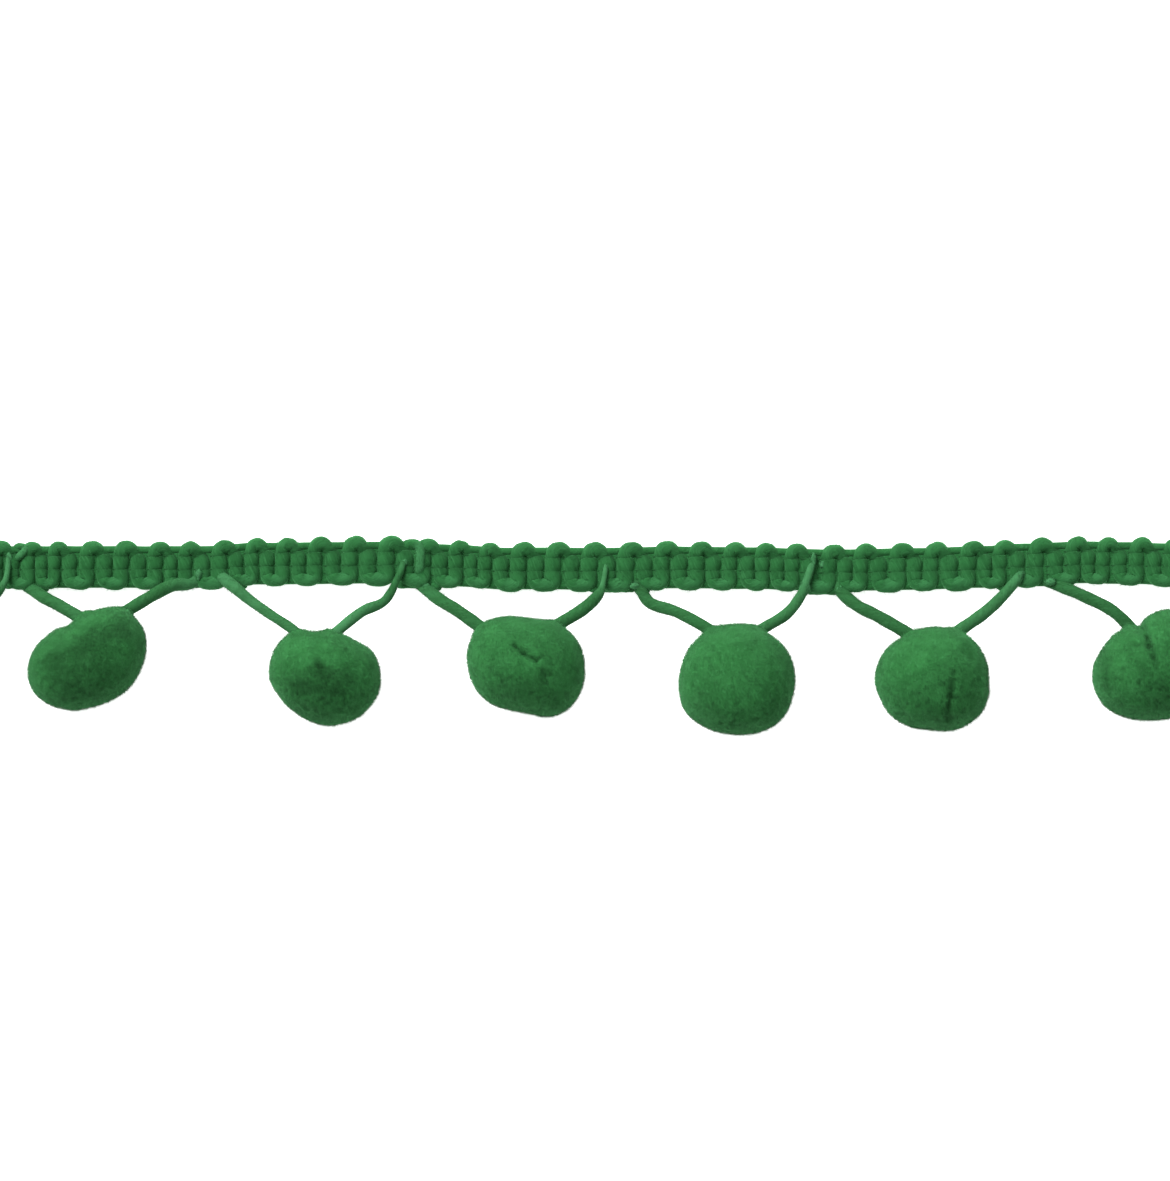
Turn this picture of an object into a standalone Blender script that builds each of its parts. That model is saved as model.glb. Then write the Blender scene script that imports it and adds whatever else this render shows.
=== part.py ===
"""Pompom fringe trim: a braided heading with a row of pompoms hung from it on cord legs.

The trim lies flat on a table. +X runs along it, +Y points across it to the edge with the small
bumps, and +Z is up. The origin is the middle of the heading's flat back.
Lengths in the constants and tables are millimetres, and MM turns them into metres.
"""

import math
import random

import bmesh
import bpy
from mathutils import Matrix, Vector, noise

MM = 0.001
WELD = 0.0001
SEED = 7
# Vector noise starts from the clock unless it is given a seed.
NOISE_SEED = 1795480065

# Heading. Its thick yarn runs up and down in loops, six of them from one join to the next. A
# loop's bottom turn makes a shallow scallop, and the turn between two loops makes a bump.
JOINS = (-63.9, -45.5, -28.4, -10.2, 8.05, 26.4, 45.2, 63.8)
LOOPS_PER_SWAG = 6
BUMP_RISE = 0.48
SCALLOP_DROP = 0.38
YARN_WANDER = 0.05
END_TUCK = 0.08
# How far the middle of the heading strays from a straight line.
DRIFT_COLUMNS = ("x", "y")
DRIFT = (
    (-66.0, -0.13),
    (-38.0, -0.13),
    (-27.0, -0.05),
    (-18.0, 0.22),
    (-10.0, 0.25),
    (-4.0, -0.10),
    (8.0, -0.30),
    (18.0, -0.13),
    (28.0, -0.30),
    (41.0, -0.13),
    (52.0, 0.36),
    (66.0, 0.30),
)
# Across the heading from the bumped edge to the scalloped one. The heights are of a yarn bar, of
# the gap between two loops and of the crook inside a loop. The last two columns are the shares
# of the bump and of the scallop that the row takes.
ROW_COLUMNS = ("row", "y", "bar", "gap", "crook", "bump", "scallop")
ROWS = (
    ("back_top", 1.88, 0.00, 0.00, 0.00, 0.8, 0.0),
    ("top_edge", 2.02, 0.75, 0.80, 0.45, 1.0, 0.0),
    ("arch", 1.50, 1.62, 1.75, 0.85, 0.7, 0.0),
    ("pinch_1", 1.08, 1.42, 1.15, 0.85, 0.0, 0.0),
    ("brick_1", 0.55, 1.75, 1.00, 1.20, 0.0, 0.0),
    ("pinch_2", 0.02, 1.48, 0.95, 1.10, 0.0, 0.0),
    ("brick_2", -0.48, 1.75, 1.00, 1.20, 0.0, 0.0),
    ("pinch_3", -0.97, 1.52, 0.95, 1.25, 0.0, 0.0),
    ("turn", -1.35, 1.72, 0.95, 1.68, 0.0, 0.4),
    ("bottom_edge", -1.62, 0.75, 0.60, 0.80, 0.0, 1.0),
    ("back_bottom", -1.52, 0.00, 0.00, 0.00, 0.0, 0.9),
)
# Stations along one loop, in loops from its middle: which height they take, and how much of the
# bump and of the scallop they reach.
STATION_COLUMNS = ("at", "kind", "bump", "scallop")
STATIONS = (
    (-0.50, "gap", 1.0, 0.0),
    (-0.37, "bar", 0.8, 0.5),
    (-0.18, "bar", 0.0, 0.9),
    (0.00, "crook", 0.0, 1.0),
    (0.18, "bar", 0.0, 0.9),
    (0.37, "bar", 0.8, 0.5),
)

# Pompoms: middle, mean radius, and how far the outline stands out in two, three and four
# directions, with the direction in degrees of one of them.
POMPOM_COLUMNS = (
    "name", "x", "y", "radius", "long", "long_at", "three", "three_at", "four", "four_at",
)
POMPOMS = (
    ("pompom_0", -54.95, -9.25, 5.04, 0.25, 20, 0.10, 15, 0.06, 10),
    ("pompom_1", -39.06, -8.30, 4.93, 0.80, 30, 0.16, -56, 0.06, 40),
    ("pompom_2", -17.87, -9.80, 4.74, 0.48, -19, 0.11, 26, 0.02, -11),
    ("pompom_3", 0.32, -8.80, 5.06, 0.55, -17, 0.09, 52, 0.17, 44),
    ("pompom_4", 19.20, -10.13, 5.29, 0.11, 4, 0.08, -37, 0.07, 36),
    ("pompom_5", 36.90, -10.06, 5.06, 0.21, -1, 0.12, -52, 0.06, -37),
    ("pompom_6", 56.60, -9.12, 5.14, 0.20, 30, 0.15, -30, 0.06, 15),
)
POMPOM_SQUASH = 0.95
POMPOM_FLAT = 0.15
LUMP_RISE = 0.12
LUMP_SCALE = 2.0
# The pile stands in blunt, four-sided locks that part near the surface and are fused below it.
# They are laid out like the squares on a box of these half sizes, blown up to a ball and turned
# to the pompom's length. LOCK_LINES cross each lock: the share of its width, and the share of
# LOCK_DEPTH that the surface is sunk there.
LOCK_BOX = (2.0, 1.0, 1.0)
LOCKS_ACROSS = (4, 2, 2)
LOCK_LINE_COLUMNS = ("at", "sunk")
LOCK_LINES = (
    (0.00, 1.00),
    (0.11, 0.22),
    (0.50, 0.00),
    (0.89, 0.22),
)
LOCK_DEPTH = 0.38
LOCK_WANDER = 0.15
# The main creases in the pile, as lines from one point to the next, from the pompom's middle
# and seen from above.
CREASE_COLUMNS = ("pompom", "x_1", "y_1", "x_2", "y_2", "depth")
CREASES = (
    ("pompom_2", -0.75, 1.95, 0.35, 0.20, 0.35),
    ("pompom_2", 0.35, 0.20, 0.70, -1.30, 0.45),
    ("pompom_3", -1.55, 2.40, 0.90, 0.45, 0.40),
    ("pompom_3", 1.60, -0.40, 1.70, -1.70, 0.30),
    ("pompom_5", 1.65, 0.60, 1.50, -0.90, 0.40),
    ("pompom_5", 1.50, -0.90, 1.20, -3.80, 0.45),
    ("pompom_6", -0.90, 4.20, -0.05, 1.80, 0.60),
    ("pompom_6", -0.05, 1.80, 0.60, -0.60, 0.40),
)
CREASE_WIDTH = 0.55

# Legs: one end of the cord at each side of a pompom, from the braid to the pile. A leg lies
# over the face of the braid, or comes out from between its yarns.
LEG_STEPS = 11
LEG_OVER = 1.50
LEG_OUT = 1.00
LEG_TIP = 4.05
LEG_SEAT = 0.30
# The tip is brought to its seat by this many steps, each a share of the gap still left.
SEAT_TRIES = 40
SEAT_STRIDE = 0.6
LEG_COLUMNS = ("pompom", "lies", "thick", "root", "edge", "bend", "fall", "tip")
LEGS = (
    ("pompom_0", "out", 1.3, (-63.6, -0.6), (-63.1, -1.4), (-61.5, -2.7), (-59.7, -3.8), (-57.3, -5.6)),
    ("pompom_0", "over", 1.3, (-46.5, 0.3), (-46.7, -1.0), (-47.5, -2.4), (-49.2, -3.9), (-52.0, -5.8)),
    ("pompom_1", "out", 1.3, (-45.1, -1.3), (-44.1, -2.0), (-43.0, -2.7), (-41.6, -3.5), (-39.4, -4.9)),
    ("pompom_1", "out", 1.3, (-28.9, -1.1), (-30.2, -1.7), (-31.7, -1.8), (-33.5, -2.6), (-36.3, -4.4)),
    ("pompom_2", "over", 1.1, (-26.7, -0.6), (-25.8, -2.0), (-24.7, -3.0), (-23.1, -4.0), (-20.3, -5.9)),
    ("pompom_2", "over", 1.1, (-10.8, 0.6), (-11.3, -0.9), (-12.5, -3.0), (-14.7, -4.1), (-17.6, -6.6)),
    ("pompom_3", "out", 1.3, (-9.8, -0.9), (-9.0, -1.7), (-7.5, -2.9), (-5.9, -3.8), (-3.4, -5.7)),
    ("pompom_3", "over", 1.3, (7.5, 0.2), (7.4, -1.0), (6.8, -2.4), (5.3, -3.8), (2.6, -5.5)),
    ("pompom_4", "out", 1.3, (9.5, -0.9), (10.1, -1.8), (11.4, -3.1), (14.0, -4.1), (17.1, -5.9)),
    ("pompom_4", "over", 1.3, (26.0, 0.7), (25.8, -0.9), (25.1, -2.8), (23.5, -4.3), (20.8, -6.0)),
    ("pompom_5", "out", 1.3, (27.7, -0.95), (28.3, -2.2), (29.8, -3.4), (32.1, -4.5), (35.0, -6.3)),
    ("pompom_5", "over", 1.3, (44.9, 0.3), (44.5, -0.9), (43.1, -2.8), (41.3, -4.2), (38.4, -6.3)),
    ("pompom_6", "out", 1.3, (46.5, -0.9), (48.0, -1.5), (50.4, -2.5), (52.8, -3.7), (55.3, -5.8)),
    ("pompom_6", "over", 1.3, (63.5, -0.2), (63.1, -1.6), (62.1, -2.9), (60.5, -3.9), (57.8, -5.7)),
)

HEADING_COLOUR = (0.030, 0.150, 0.045, 1.0)
POMPOM_COLOUR = (0.028, 0.140, 0.040, 1.0)
YARN_ROUGHNESS = 0.85
PILE_ROUGHNESS = 0.95


def as_rows(columns, table):
    """The table's rows as dictionaries by column name."""
    return [dict(zip(columns, row)) for row in table]


def yarn_material(name, colour, roughness):
    """A plain, matt material for yarn or pile."""
    material = bpy.data.materials.new(name)
    material.use_nodes = True
    shader = material.node_tree.nodes["Principled BSDF"]
    shader.inputs["Base Color"].default_value = colour
    shader.inputs["Roughness"].default_value = roughness
    shader.inputs["Metallic"].default_value = 0.0
    material.diffuse_color = colour
    return material


def add_object(name, shell, material):
    """Turns a finished bmesh, in millimetres, into an object made of triangles."""
    bmesh.ops.scale(shell, vec=(MM, MM, MM), verts=shell.verts)
    bmesh.ops.triangulate(shell, faces=shell.faces)
    bmesh.ops.recalc_face_normals(shell, faces=shell.faces)
    mesh = bpy.data.meshes.new(name)
    shell.to_mesh(mesh)
    shell.free()
    mesh.materials.append(material)
    mesh.shade_smooth()
    mesh.set_sharp_from_angle(angle=math.radians(50))
    obj = bpy.data.objects.new(name, mesh)
    bpy.context.scene.collection.objects.link(obj)
    return obj


def close_tube(shell, rings):
    """Skins a list of vertex rings and caps both ends."""
    count = len(rings[0])
    for ring, following in zip(rings, rings[1:]):
        for k in range(count):
            nxt = (k + 1) % count
            shell.faces.new((ring[k], ring[nxt], following[nxt], following[k]))
    shell.faces.new(rings[0])
    shell.faces.new(rings[-1][::-1])


def drift_at(x):
    """How far the heading's middle stands from y = 0, eased between the rows of DRIFT."""
    rows = as_rows(DRIFT_COLUMNS, DRIFT)
    for here, there in zip(rows, rows[1:]):
        if x <= there["x"]:
            share = max(0.0, (x - here["x"]) / (there["x"] - here["x"]))
            eased = share * share * (3 - 2 * share)
            return here["y"] + (there["y"] - here["y"]) * eased
    return rows[-1]["y"]


def loop_x(loops):
    """The place along the trim that lies this many loops past the first join."""
    swag = int(min(max(loops // LOOPS_PER_SWAG, 0), len(JOINS) - 2))
    start = JOINS[swag]
    share = (loops - swag * LOOPS_PER_SWAG) / LOOPS_PER_SWAG
    return start + share * (JOINS[swag + 1] - start)


def heading_stations():
    """Every station from the left end to the right: x, kind, bump and scallop reach."""
    stations = []
    loop_count = LOOPS_PER_SWAG * (len(JOINS) - 1)
    for loop in range(loop_count + 1):
        for station in as_rows(STATION_COLUMNS, STATIONS):
            stations.append(dict(station, x=loop_x(loop + station["at"])))
    last = dict(stations[0], x=loop_x(loop_count + 0.5))
    stations.append(last)
    # The cut ends are flat, a little inside the last half loop.
    for end, inward in ((stations[0], END_TUCK), (last, -END_TUCK)):
        end["x"] += inward
        end["kind"] = "bar"
        end["bump"] = 0.0
        end["scallop"] = 0.2
    return stations


def make_heading(material):
    """The braid, as one strip with a flat back and its yarn bars raised on the face."""
    chance = random.Random(SEED)
    shell = bmesh.new()
    rings = []
    for station in heading_stations():
        lift = 1 + chance.uniform(-YARN_WANDER, YARN_WANDER)
        rise = BUMP_RISE * (1 + 3 * chance.uniform(-YARN_WANDER, YARN_WANDER))
        middle = drift_at(station["x"])
        ring = []
        for row in as_rows(ROW_COLUMNS, ROWS):
            y = middle + row["y"] + rise * row["bump"] * station["bump"]
            y -= SCALLOP_DROP * row["scallop"] * station["scallop"]
            ring.append(shell.verts.new((station["x"], y, row[station["kind"]] * lift)))
        rings.append(ring)
    close_tube(shell, rings)
    return add_object("heading", shell, material)


def crease_depth(pompom, point):
    """How deep the creases of this pompom are at a point on its upper half."""
    depth = 0.0
    for crease in as_rows(CREASE_COLUMNS, CREASES):
        if crease["pompom"] != pompom["name"] or point.z < 0:
            continue
        start = Vector((crease["x_1"], crease["y_1"]))
        run = Vector((crease["x_2"], crease["y_2"])) - start
        share = (point.xy - start).dot(run) / run.length_squared
        apart = (point.xy - start - run * min(max(share, 0.0), 1.0)).length
        depth = max(depth, crease["depth"] * math.exp(-((apart / CREASE_WIDTH) ** 2)))
    return depth


def pompom_reach(pompom, direction):
    """The pompom's surface in this direction, from its middle."""
    around = math.atan2(direction.y, direction.x)
    level = 1 - direction.z**2
    reach = pompom["radius"] * (1 - (1 - POMPOM_SQUASH) * direction.z**2)
    for count, size in ((2, "long"), (3, "three"), (4, "four")):
        turned = around - math.radians(pompom[size + "_at"])
        reach += pompom[size] * level ** (count / 2) * math.cos(count * turned)
    reach += LUMP_RISE * noise.noise(direction * LUMP_SCALE + Vector((pompom["x"], 0, 0)))
    return reach - crease_depth(pompom, direction * reach)


def pompom_middle(pompom):
    """The middle of the pompom, with the pile pressed flat where it touches the table."""
    height = pompom["radius"] * POMPOM_SQUASH - POMPOM_FLAT
    return Vector((pompom["x"], pompom["y"], height))


def lock_lines(half, count):
    """The grid lines of a row of locks, from -half to half, and how far each one is sunk."""
    turn = math.atan(half)
    lines = []
    for k in range(count):
        for line in as_rows(LOCK_LINE_COLUMNS, LOCK_LINES):
            share = 2 * (k + line["at"]) / count - 1
            lines.append((math.tan(share * turn), line["sunk"]))
    return lines + [(half, LOCK_LINES[0][1])]


def add_box_side(shell, axis, sign):
    """One side of the box of locks, its depth layer telling how far each vertex is sunk."""
    depth = shell.verts.layers.float["depth"]
    across, along = (axis + 1) % 3, (axis + 2) % 3
    grid = []
    for u, u_sunk in lock_lines(LOCK_BOX[across], LOCKS_ACROSS[across]):
        column = []
        for v, v_sunk in lock_lines(LOCK_BOX[along], LOCKS_ACROSS[along]):
            place = Vector()
            place[axis] = sign * LOCK_BOX[axis]
            place[across] = u
            place[along] = v
            vert = shell.verts.new(place)
            vert[depth] = LOCK_DEPTH * max(u_sunk, v_sunk)
            column.append(vert)
        grid.append(column)
    for left, right in zip(grid, grid[1:]):
        for k in range(len(left) - 1):
            corners = (left[k], right[k], right[k + 1], left[k + 1])
            shell.faces.new(corners if sign > 0 else corners[::-1])


def make_pompom(pompom, material):
    """One pompom: a dense ball of locks with a small flat spot where it lies on the table."""
    shell = bmesh.new()
    depth = shell.verts.layers.float.new("depth")
    for axis in range(3):
        add_box_side(shell, axis, 1)
        add_box_side(shell, axis, -1)
    bmesh.ops.remove_doubles(shell, verts=shell.verts, dist=WELD)
    middle = pompom_middle(pompom)
    turn = Matrix.Rotation(math.radians(pompom["long_at"]), 3, "Z")
    offset = Vector((0, pompom["x"], 0))
    for vert in shell.verts:
        spread = vert.co.normalized()
        spread += LOCK_WANDER * noise.noise_vector(spread * LUMP_SCALE + offset)
        direction = (turn @ spread).normalized()
        vert.co = middle + direction * (pompom_reach(pompom, direction) - vert[depth])
        vert.co.z = max(vert.co.z, 0.0)
    return add_object(pompom["name"], shell, material)


def smooth_route(points):
    """Points along a Catmull-Rom curve through the given ones, LEG_STEPS to the whole route."""
    ends = [2 * points[0] - points[1]] + points + [2 * points[-1] - points[-2]]
    spans = len(points) - 1
    route = []
    for step in range(LEG_STEPS + 1):
        along = spans * step / LEG_STEPS
        k = min(int(along), spans - 1)
        t = along - k
        a, b, c, d = ends[k : k + 4]
        bend = (c - a) * t + (2 * a - 5 * b + 4 * c - d) * t**2 + (3 * b - a - 3 * c + d) * t**3
        route.append(b + bend / 2)
    return route


def leg_route(leg):
    """The middle line of a leg, rising from the braid to the side of the pompom."""
    names = LEG_COLUMNS[3:]
    root_height = LEG_OVER if leg["lies"] == "over" else LEG_OUT
    points = []
    for k, name in enumerate(names):
        share = (k / (len(names) - 1)) ** 1.3
        height = root_height + (LEG_TIP - root_height) * share
        points.append(Vector((*leg[name], height)))
    return smooth_route(points)


def gap_to(point, pompom):
    """How far a point stands off the pompom's surface, measured from its middle."""
    away = point - pompom_middle(pompom)
    return away.length - pompom_reach(pompom, away.normalized())


def seat_on(point, run, pompom):
    """Slides a point along the leg's run until it stands LEG_SEAT off the pompom."""
    for _ in range(SEAT_TRIES):
        point = point + run * (gap_to(point, pompom) - LEG_SEAT) * SEAT_STRIDE
    return point


def corners_around(middle, run, thick):
    """The corners of a four-sided cord that follows the run at this point."""
    side = run.cross(Vector((0, 0, 1))).normalized() * thick / 2
    up = side.cross(run).normalized() * thick / 2
    return [middle + side, middle + up, middle - side, middle - up]


def add_leg(shell, leg, pompom):
    """One four-sided leg, whose tip is cut to the pompom's side."""
    route = [p for p in leg_route(leg) if gap_to(p, pompom) > leg["thick"] / 2]
    runs = [(there - here).normalized() for here, there in zip(route, route[1:])]
    runs.append(runs[-1])
    rings = [corners_around(p, run, leg["thick"]) for p, run in zip(route, runs)]
    rings.append([seat_on(corner, runs[-1], pompom) for corner in rings[-1]])
    close_tube(shell, [[shell.verts.new(corner) for corner in ring] for ring in rings])


def join_legs(heading, material):
    """Fuses the roots of all the legs into the heading."""
    shell = bmesh.new()
    pompoms = {row["name"]: row for row in as_rows(POMPOM_COLUMNS, POMPOMS)}
    for leg in as_rows(LEG_COLUMNS, LEGS):
        add_leg(shell, leg, pompoms[leg["pompom"]])
    legs = add_object("legs_to_join", shell, material)
    legs.hide_render = True
    legs.display_type = "WIRE"
    union = heading.modifiers.new("legs", "BOOLEAN")
    union.operation = "UNION"
    union.solver = "EXACT"
    union.object = legs


def main():
    for obj in list(bpy.data.objects):
        bpy.data.objects.remove(obj)
    noise.seed_set(NOISE_SEED)
    braid = yarn_material("braid_yarn", HEADING_COLOUR, YARN_ROUGHNESS)
    pile = yarn_material("pompom_pile", POMPOM_COLOUR, PILE_ROUGHNESS)
    heading = make_heading(braid)
    join_legs(heading, braid)
    for pompom in as_rows(POMPOM_COLUMNS, POMPOMS):
        make_pompom(pompom, pile)


main()
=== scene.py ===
"""The looks of a pompom fringe trim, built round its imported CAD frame.

The heading is one thick yarn laid in close loops and bound by thin lengthwise threads. Cords
cross it at every join and carry the pompoms, which are dense balls of clipped pile. Lengths in
the tables are millimetres, and MM turns them into metres.
"""

from __future__ import annotations

import logging
import math
import random
from collections.abc import Iterable, Mapping, Sequence
from dataclasses import dataclass, field
from enum import Enum

import bmesh
import bpy
from mathutils import Matrix, Vector, noise


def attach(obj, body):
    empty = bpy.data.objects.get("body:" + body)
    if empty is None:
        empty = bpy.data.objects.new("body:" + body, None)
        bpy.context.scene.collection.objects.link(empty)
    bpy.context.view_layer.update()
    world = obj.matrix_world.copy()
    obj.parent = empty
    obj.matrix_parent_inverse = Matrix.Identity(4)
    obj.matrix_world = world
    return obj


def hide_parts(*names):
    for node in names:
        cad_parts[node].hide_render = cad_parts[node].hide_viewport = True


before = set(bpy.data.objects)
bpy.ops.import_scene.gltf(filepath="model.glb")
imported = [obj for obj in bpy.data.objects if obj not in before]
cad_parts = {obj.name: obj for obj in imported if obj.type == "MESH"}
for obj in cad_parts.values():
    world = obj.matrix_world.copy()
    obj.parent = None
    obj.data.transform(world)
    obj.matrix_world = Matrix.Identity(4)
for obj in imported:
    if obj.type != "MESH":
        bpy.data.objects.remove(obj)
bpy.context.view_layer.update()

LOG = logging.getLogger("pompom_trim")

MM = 0.001
ROOT_BODY = "root"
# Vector noise starts from the clock unless it is given a seed.
NOISE_SEED = 53

# The heading's plan: where the legs come out, the bumps along its upper edge, of which six lie
# between two joins, and the way that its middle drifts.
JOINS = (-63.9, -45.5, -28.4, -10.2, 8.05, 26.4, 45.2, 63.8)
LOOPS_PER_SWAG = 6
BUMPS = (
    -62.37, -59.3, -56.23, -53.17, -50.1, -47.03,
    -44.14, -41.89, -38.74, -35.68, -32.62, -30.02,
    -26.86, -23.98, -21.2, -18.22, -15.07, -11.74,
    -8.5, -5.62, -3.01, 0.14, 3.28, 6.52,
    9.86, 13, 16.16, 19.21, 22, 24.7,
    28.12, 30.91, 34.34, 37.3, 40.73, 43.42,
    46.84, 50.09, 52.78, 55.84, 58.95, 62.05,
)
DRIFT = (
    (-66.0, 0.00), (-28.5, 0.00), (-24.5, 0.30), (-12.0, 0.40), (-8.5, 0.20), (-5.5, 0.10),
    (-2.0, -0.14), (8.0, -0.15), (13.0, -0.03), (20.0, -0.10), (28.0, -0.30), (36.0, -0.17),
    (41.0, 0.00), (45.5, 0.24), (50.0, 0.42), (54.5, 0.36), (58.0, 0.25), (66.0, 0.25),
)
# The ordinary loop, and the narrowest and the widest one as shares of it.
LOOP_PITCH = 3.05
CROWDED = (0.85, 1.25)


class Slot(Enum):
    """The record's material slots."""

    BRAID = "braid_yarn"
    PILE = "pompom_pile"


# ---------------------------------------------------------------------------
# Plan of the heading
# ---------------------------------------------------------------------------


def ease(share: float) -> float:
    """A share from 0 to 1, eased at both ends."""
    share = min(max(share, 0.0), 1.0)
    return share * share * (3 - 2 * share)


def drift_at(x: float) -> float:
    """How far the heading's middle stands from y = 0.

    Args:
        x: the place along the trim, in millimetres.

    Returns:
        The middle's y, in millimetres.
    """
    for (x_1, y_1), (x_2, y_2) in zip(DRIFT, DRIFT[1:]):
        if x <= x_2:
            return y_1 + (y_2 - y_1) * ease((x - x_1) / (x_2 - x_1))
    return DRIFT[-1][1]


def loop_x(loops: float) -> float:
    """The place along the trim that lies some loops past the first join.

    Args:
        loops: how many loops.

    Returns:
        The place's x, in millimetres.
    """
    first = min(max(int(loops - 0.5), 0), len(BUMPS) - 2)
    step = BUMPS[first + 1] - BUMPS[first]
    return BUMPS[first] + (loops - 0.5 - first) * step


def crowding(loops: float) -> float:
    """How wide the loops are at a place.

    Args:
        loops: the place, in loops past the first join.

    Returns:
        The width as a share of the ordinary loop.
    """
    low, high = CROWDED
    step = loop_x(loops + 0.5) - loop_x(loops - 0.5)
    return min(max(step / LOOP_PITCH, low), high)


def smooth_route(points: Sequence[Vector], steps: int) -> list[Vector]:
    """Points along a Catmull-Rom curve through the given ones.

    Args:
        points: the points that the curve passes.
        steps: how many steps each span between two points is cut into.

    Returns:
        The curve's points, both ends among them.
    """
    ends = [2 * points[0] - points[1], *points, 2 * points[-1] - points[-2]]
    route = []
    for k in range(len(points) - 1):
        a, b, c, d = ends[k : k + 4]
        for step in range(steps):
            t = step / steps
            bend = (c - a) * t + (2 * a - 5 * b + 4 * c - d) * t**2
            bend += (3 * b - a - 3 * c + d) * t**3
            route.append(b + bend / 2)
    return [*route, points[-1].copy()]


def add_object(name: str, data: bpy.types.ID) -> bpy.types.Object:
    """Adds an object to the scene.

    Args:
        name: its name.
        data: its mesh, lamp or camera.

    Returns:
        The object.
    """
    made = bpy.data.objects.new(name, data)
    bpy.context.scene.collection.objects.link(made)
    return made


# ---------------------------------------------------------------------------
# Node trees
# ---------------------------------------------------------------------------

Colour = tuple[float, float, float, float]
Socket = bpy.types.NodeSocket


@dataclass(frozen=True)
class Graph:
    """A node tree under construction."""

    tree: bpy.types.NodeTree

    def feed(self, node: bpy.types.Node, inputs: Mapping[int | str, object]) -> None:
        """Fills a node's inputs.

        Args:
            node: the node.
            inputs: by name or number, a socket to link from or a value to set.
        """
        for key, value in inputs.items():
            if isinstance(value, Socket):
                self.tree.links.new(value, node.inputs[key])
            else:
                node.inputs[key].default_value = value

    def node(
        self, kind: str, inputs: Mapping[int | str, object] | None = None, **settings: object
    ) -> bpy.types.Node:
        """Adds a node.

        Args:
            kind: the node's Blender type.
            inputs: by name or number, a socket to link from or a value to set.
            settings: the node's own properties, which are set first.

        Returns:
            The new node.
        """
        node = self.tree.nodes.new(kind)
        for name, value in settings.items():
            setattr(node, name, value)
        self.feed(node, inputs or {})
        return node

    def out(
        self, kind: str, inputs: Mapping[int | str, object] | None = None, **settings: object
    ) -> Socket:
        """Adds a node, as node() does, and returns its first output."""
        return self.node(kind, inputs, **settings).outputs[0]

    def math(self, operation: str, *values: object) -> Socket:
        """Adds a Math node and returns its result."""
        return self.out("ShaderNodeMath", dict(enumerate(values)), operation=operation)

    def vector(self, operation: str, *values: object) -> Socket:
        """Adds a Vector Math node whose result is a vector, and returns it."""
        return self.out("ShaderNodeVectorMath", dict(enumerate(values)), operation=operation)

    def scaled(self, vector: Socket, share: object) -> Socket:
        """Multiplies a vector by a number."""
        return self.out("ShaderNodeVectorMath", {0: vector, "Scale": share}, operation="SCALE")

    def joined(self, x: object, y: object, z: object) -> Socket:
        """Makes a vector of three numbers."""
        return self.out("ShaderNodeCombineXYZ", {"X": x, "Y": y, "Z": z})

    def split(self, vector: Socket) -> Mapping[str, Socket]:
        """The numbers X, Y and Z of a vector."""
        return self.node("ShaderNodeSeparateXYZ", {0: vector}).outputs

    def place(self) -> Socket:
        """Where a material is on its piece, in Object coordinates."""
        return self.node("ShaderNodeTexCoord").outputs["Object"]

    def worn(self, name: str, output: str = "Fac") -> Socket:
        """An attribute that the piece wears, read in a material."""
        return self.node("ShaderNodeAttribute", attribute_name=name).outputs[output]

    def blend(self, mode: str, share: object, first: object, second: object) -> Socket:
        """Adds a Mix node for colours and returns its colour."""
        inputs = {0: share, 6: first, 7: second}
        return self.node("ShaderNodeMix", inputs, data_type="RGBA", blend_type=mode).outputs[2]

    def spread(self, value: Socket, low: float, high: float) -> Socket:
        """Maps a value between low and high smoothly to 0 to 1."""
        inputs = {"Value": value, "From Min": low, "From Max": high}
        return self.out("ShaderNodeMapRange", inputs, interpolation_type="SMOOTHSTEP")

    def stored(self, geometry: Socket, name: str, value: Socket, kind: str) -> Socket:
        """Stores a point attribute on a geometry and returns the geometry."""
        inputs = {"Geometry": geometry, "Name": name, "Value": value}
        return self.out("GeometryNodeStoreNamedAttribute", inputs, data_type=kind, domain="POINT")

    def finished(self, geometry: Socket, finish: Socket) -> Socket:
        """Ends a tree of Geometry Nodes with real, smooth faces in their material.

        Args:
            geometry: the geometry so far.
            finish: the material.

        Returns:
            The finished geometry.
        """
        real = self.out("GeometryNodeRealizeInstances", {"Geometry": geometry})
        smooth = self.out("GeometryNodeSetShadeSmooth", {"Geometry": real})
        return self.out("GeometryNodeSetMaterial", {"Geometry": smooth, "Material": finish})

    def takes(self, **sockets: tuple[str, object]) -> Mapping[str, Socket]:
        """Args:
            sockets: by name, the socket's type and its default.

        Returns:
            The sockets to link from, by name.
        """
        for name, (kind, default) in sockets.items():
            socket = self.tree.interface.new_socket(
                name=name, in_out="INPUT", socket_type=f"NodeSocket{kind}"
            )
            if default is not None:
                socket.default_value = default
        return self.tree.nodes.new("NodeGroupInput").outputs

    def gives(self, **sockets: tuple[str, Socket]) -> None:
        """Args:
            sockets: by name, the socket's type and what it sends out.
        """
        for name, (kind, _) in sockets.items():
            self.tree.interface.new_socket(
                name=name, in_out="OUTPUT", socket_type=f"NodeSocket{kind}"
            )
        out = self.tree.nodes.new("NodeGroupOutput")
        self.feed(out, {name: source for name, (_, source) in sockets.items()})


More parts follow.
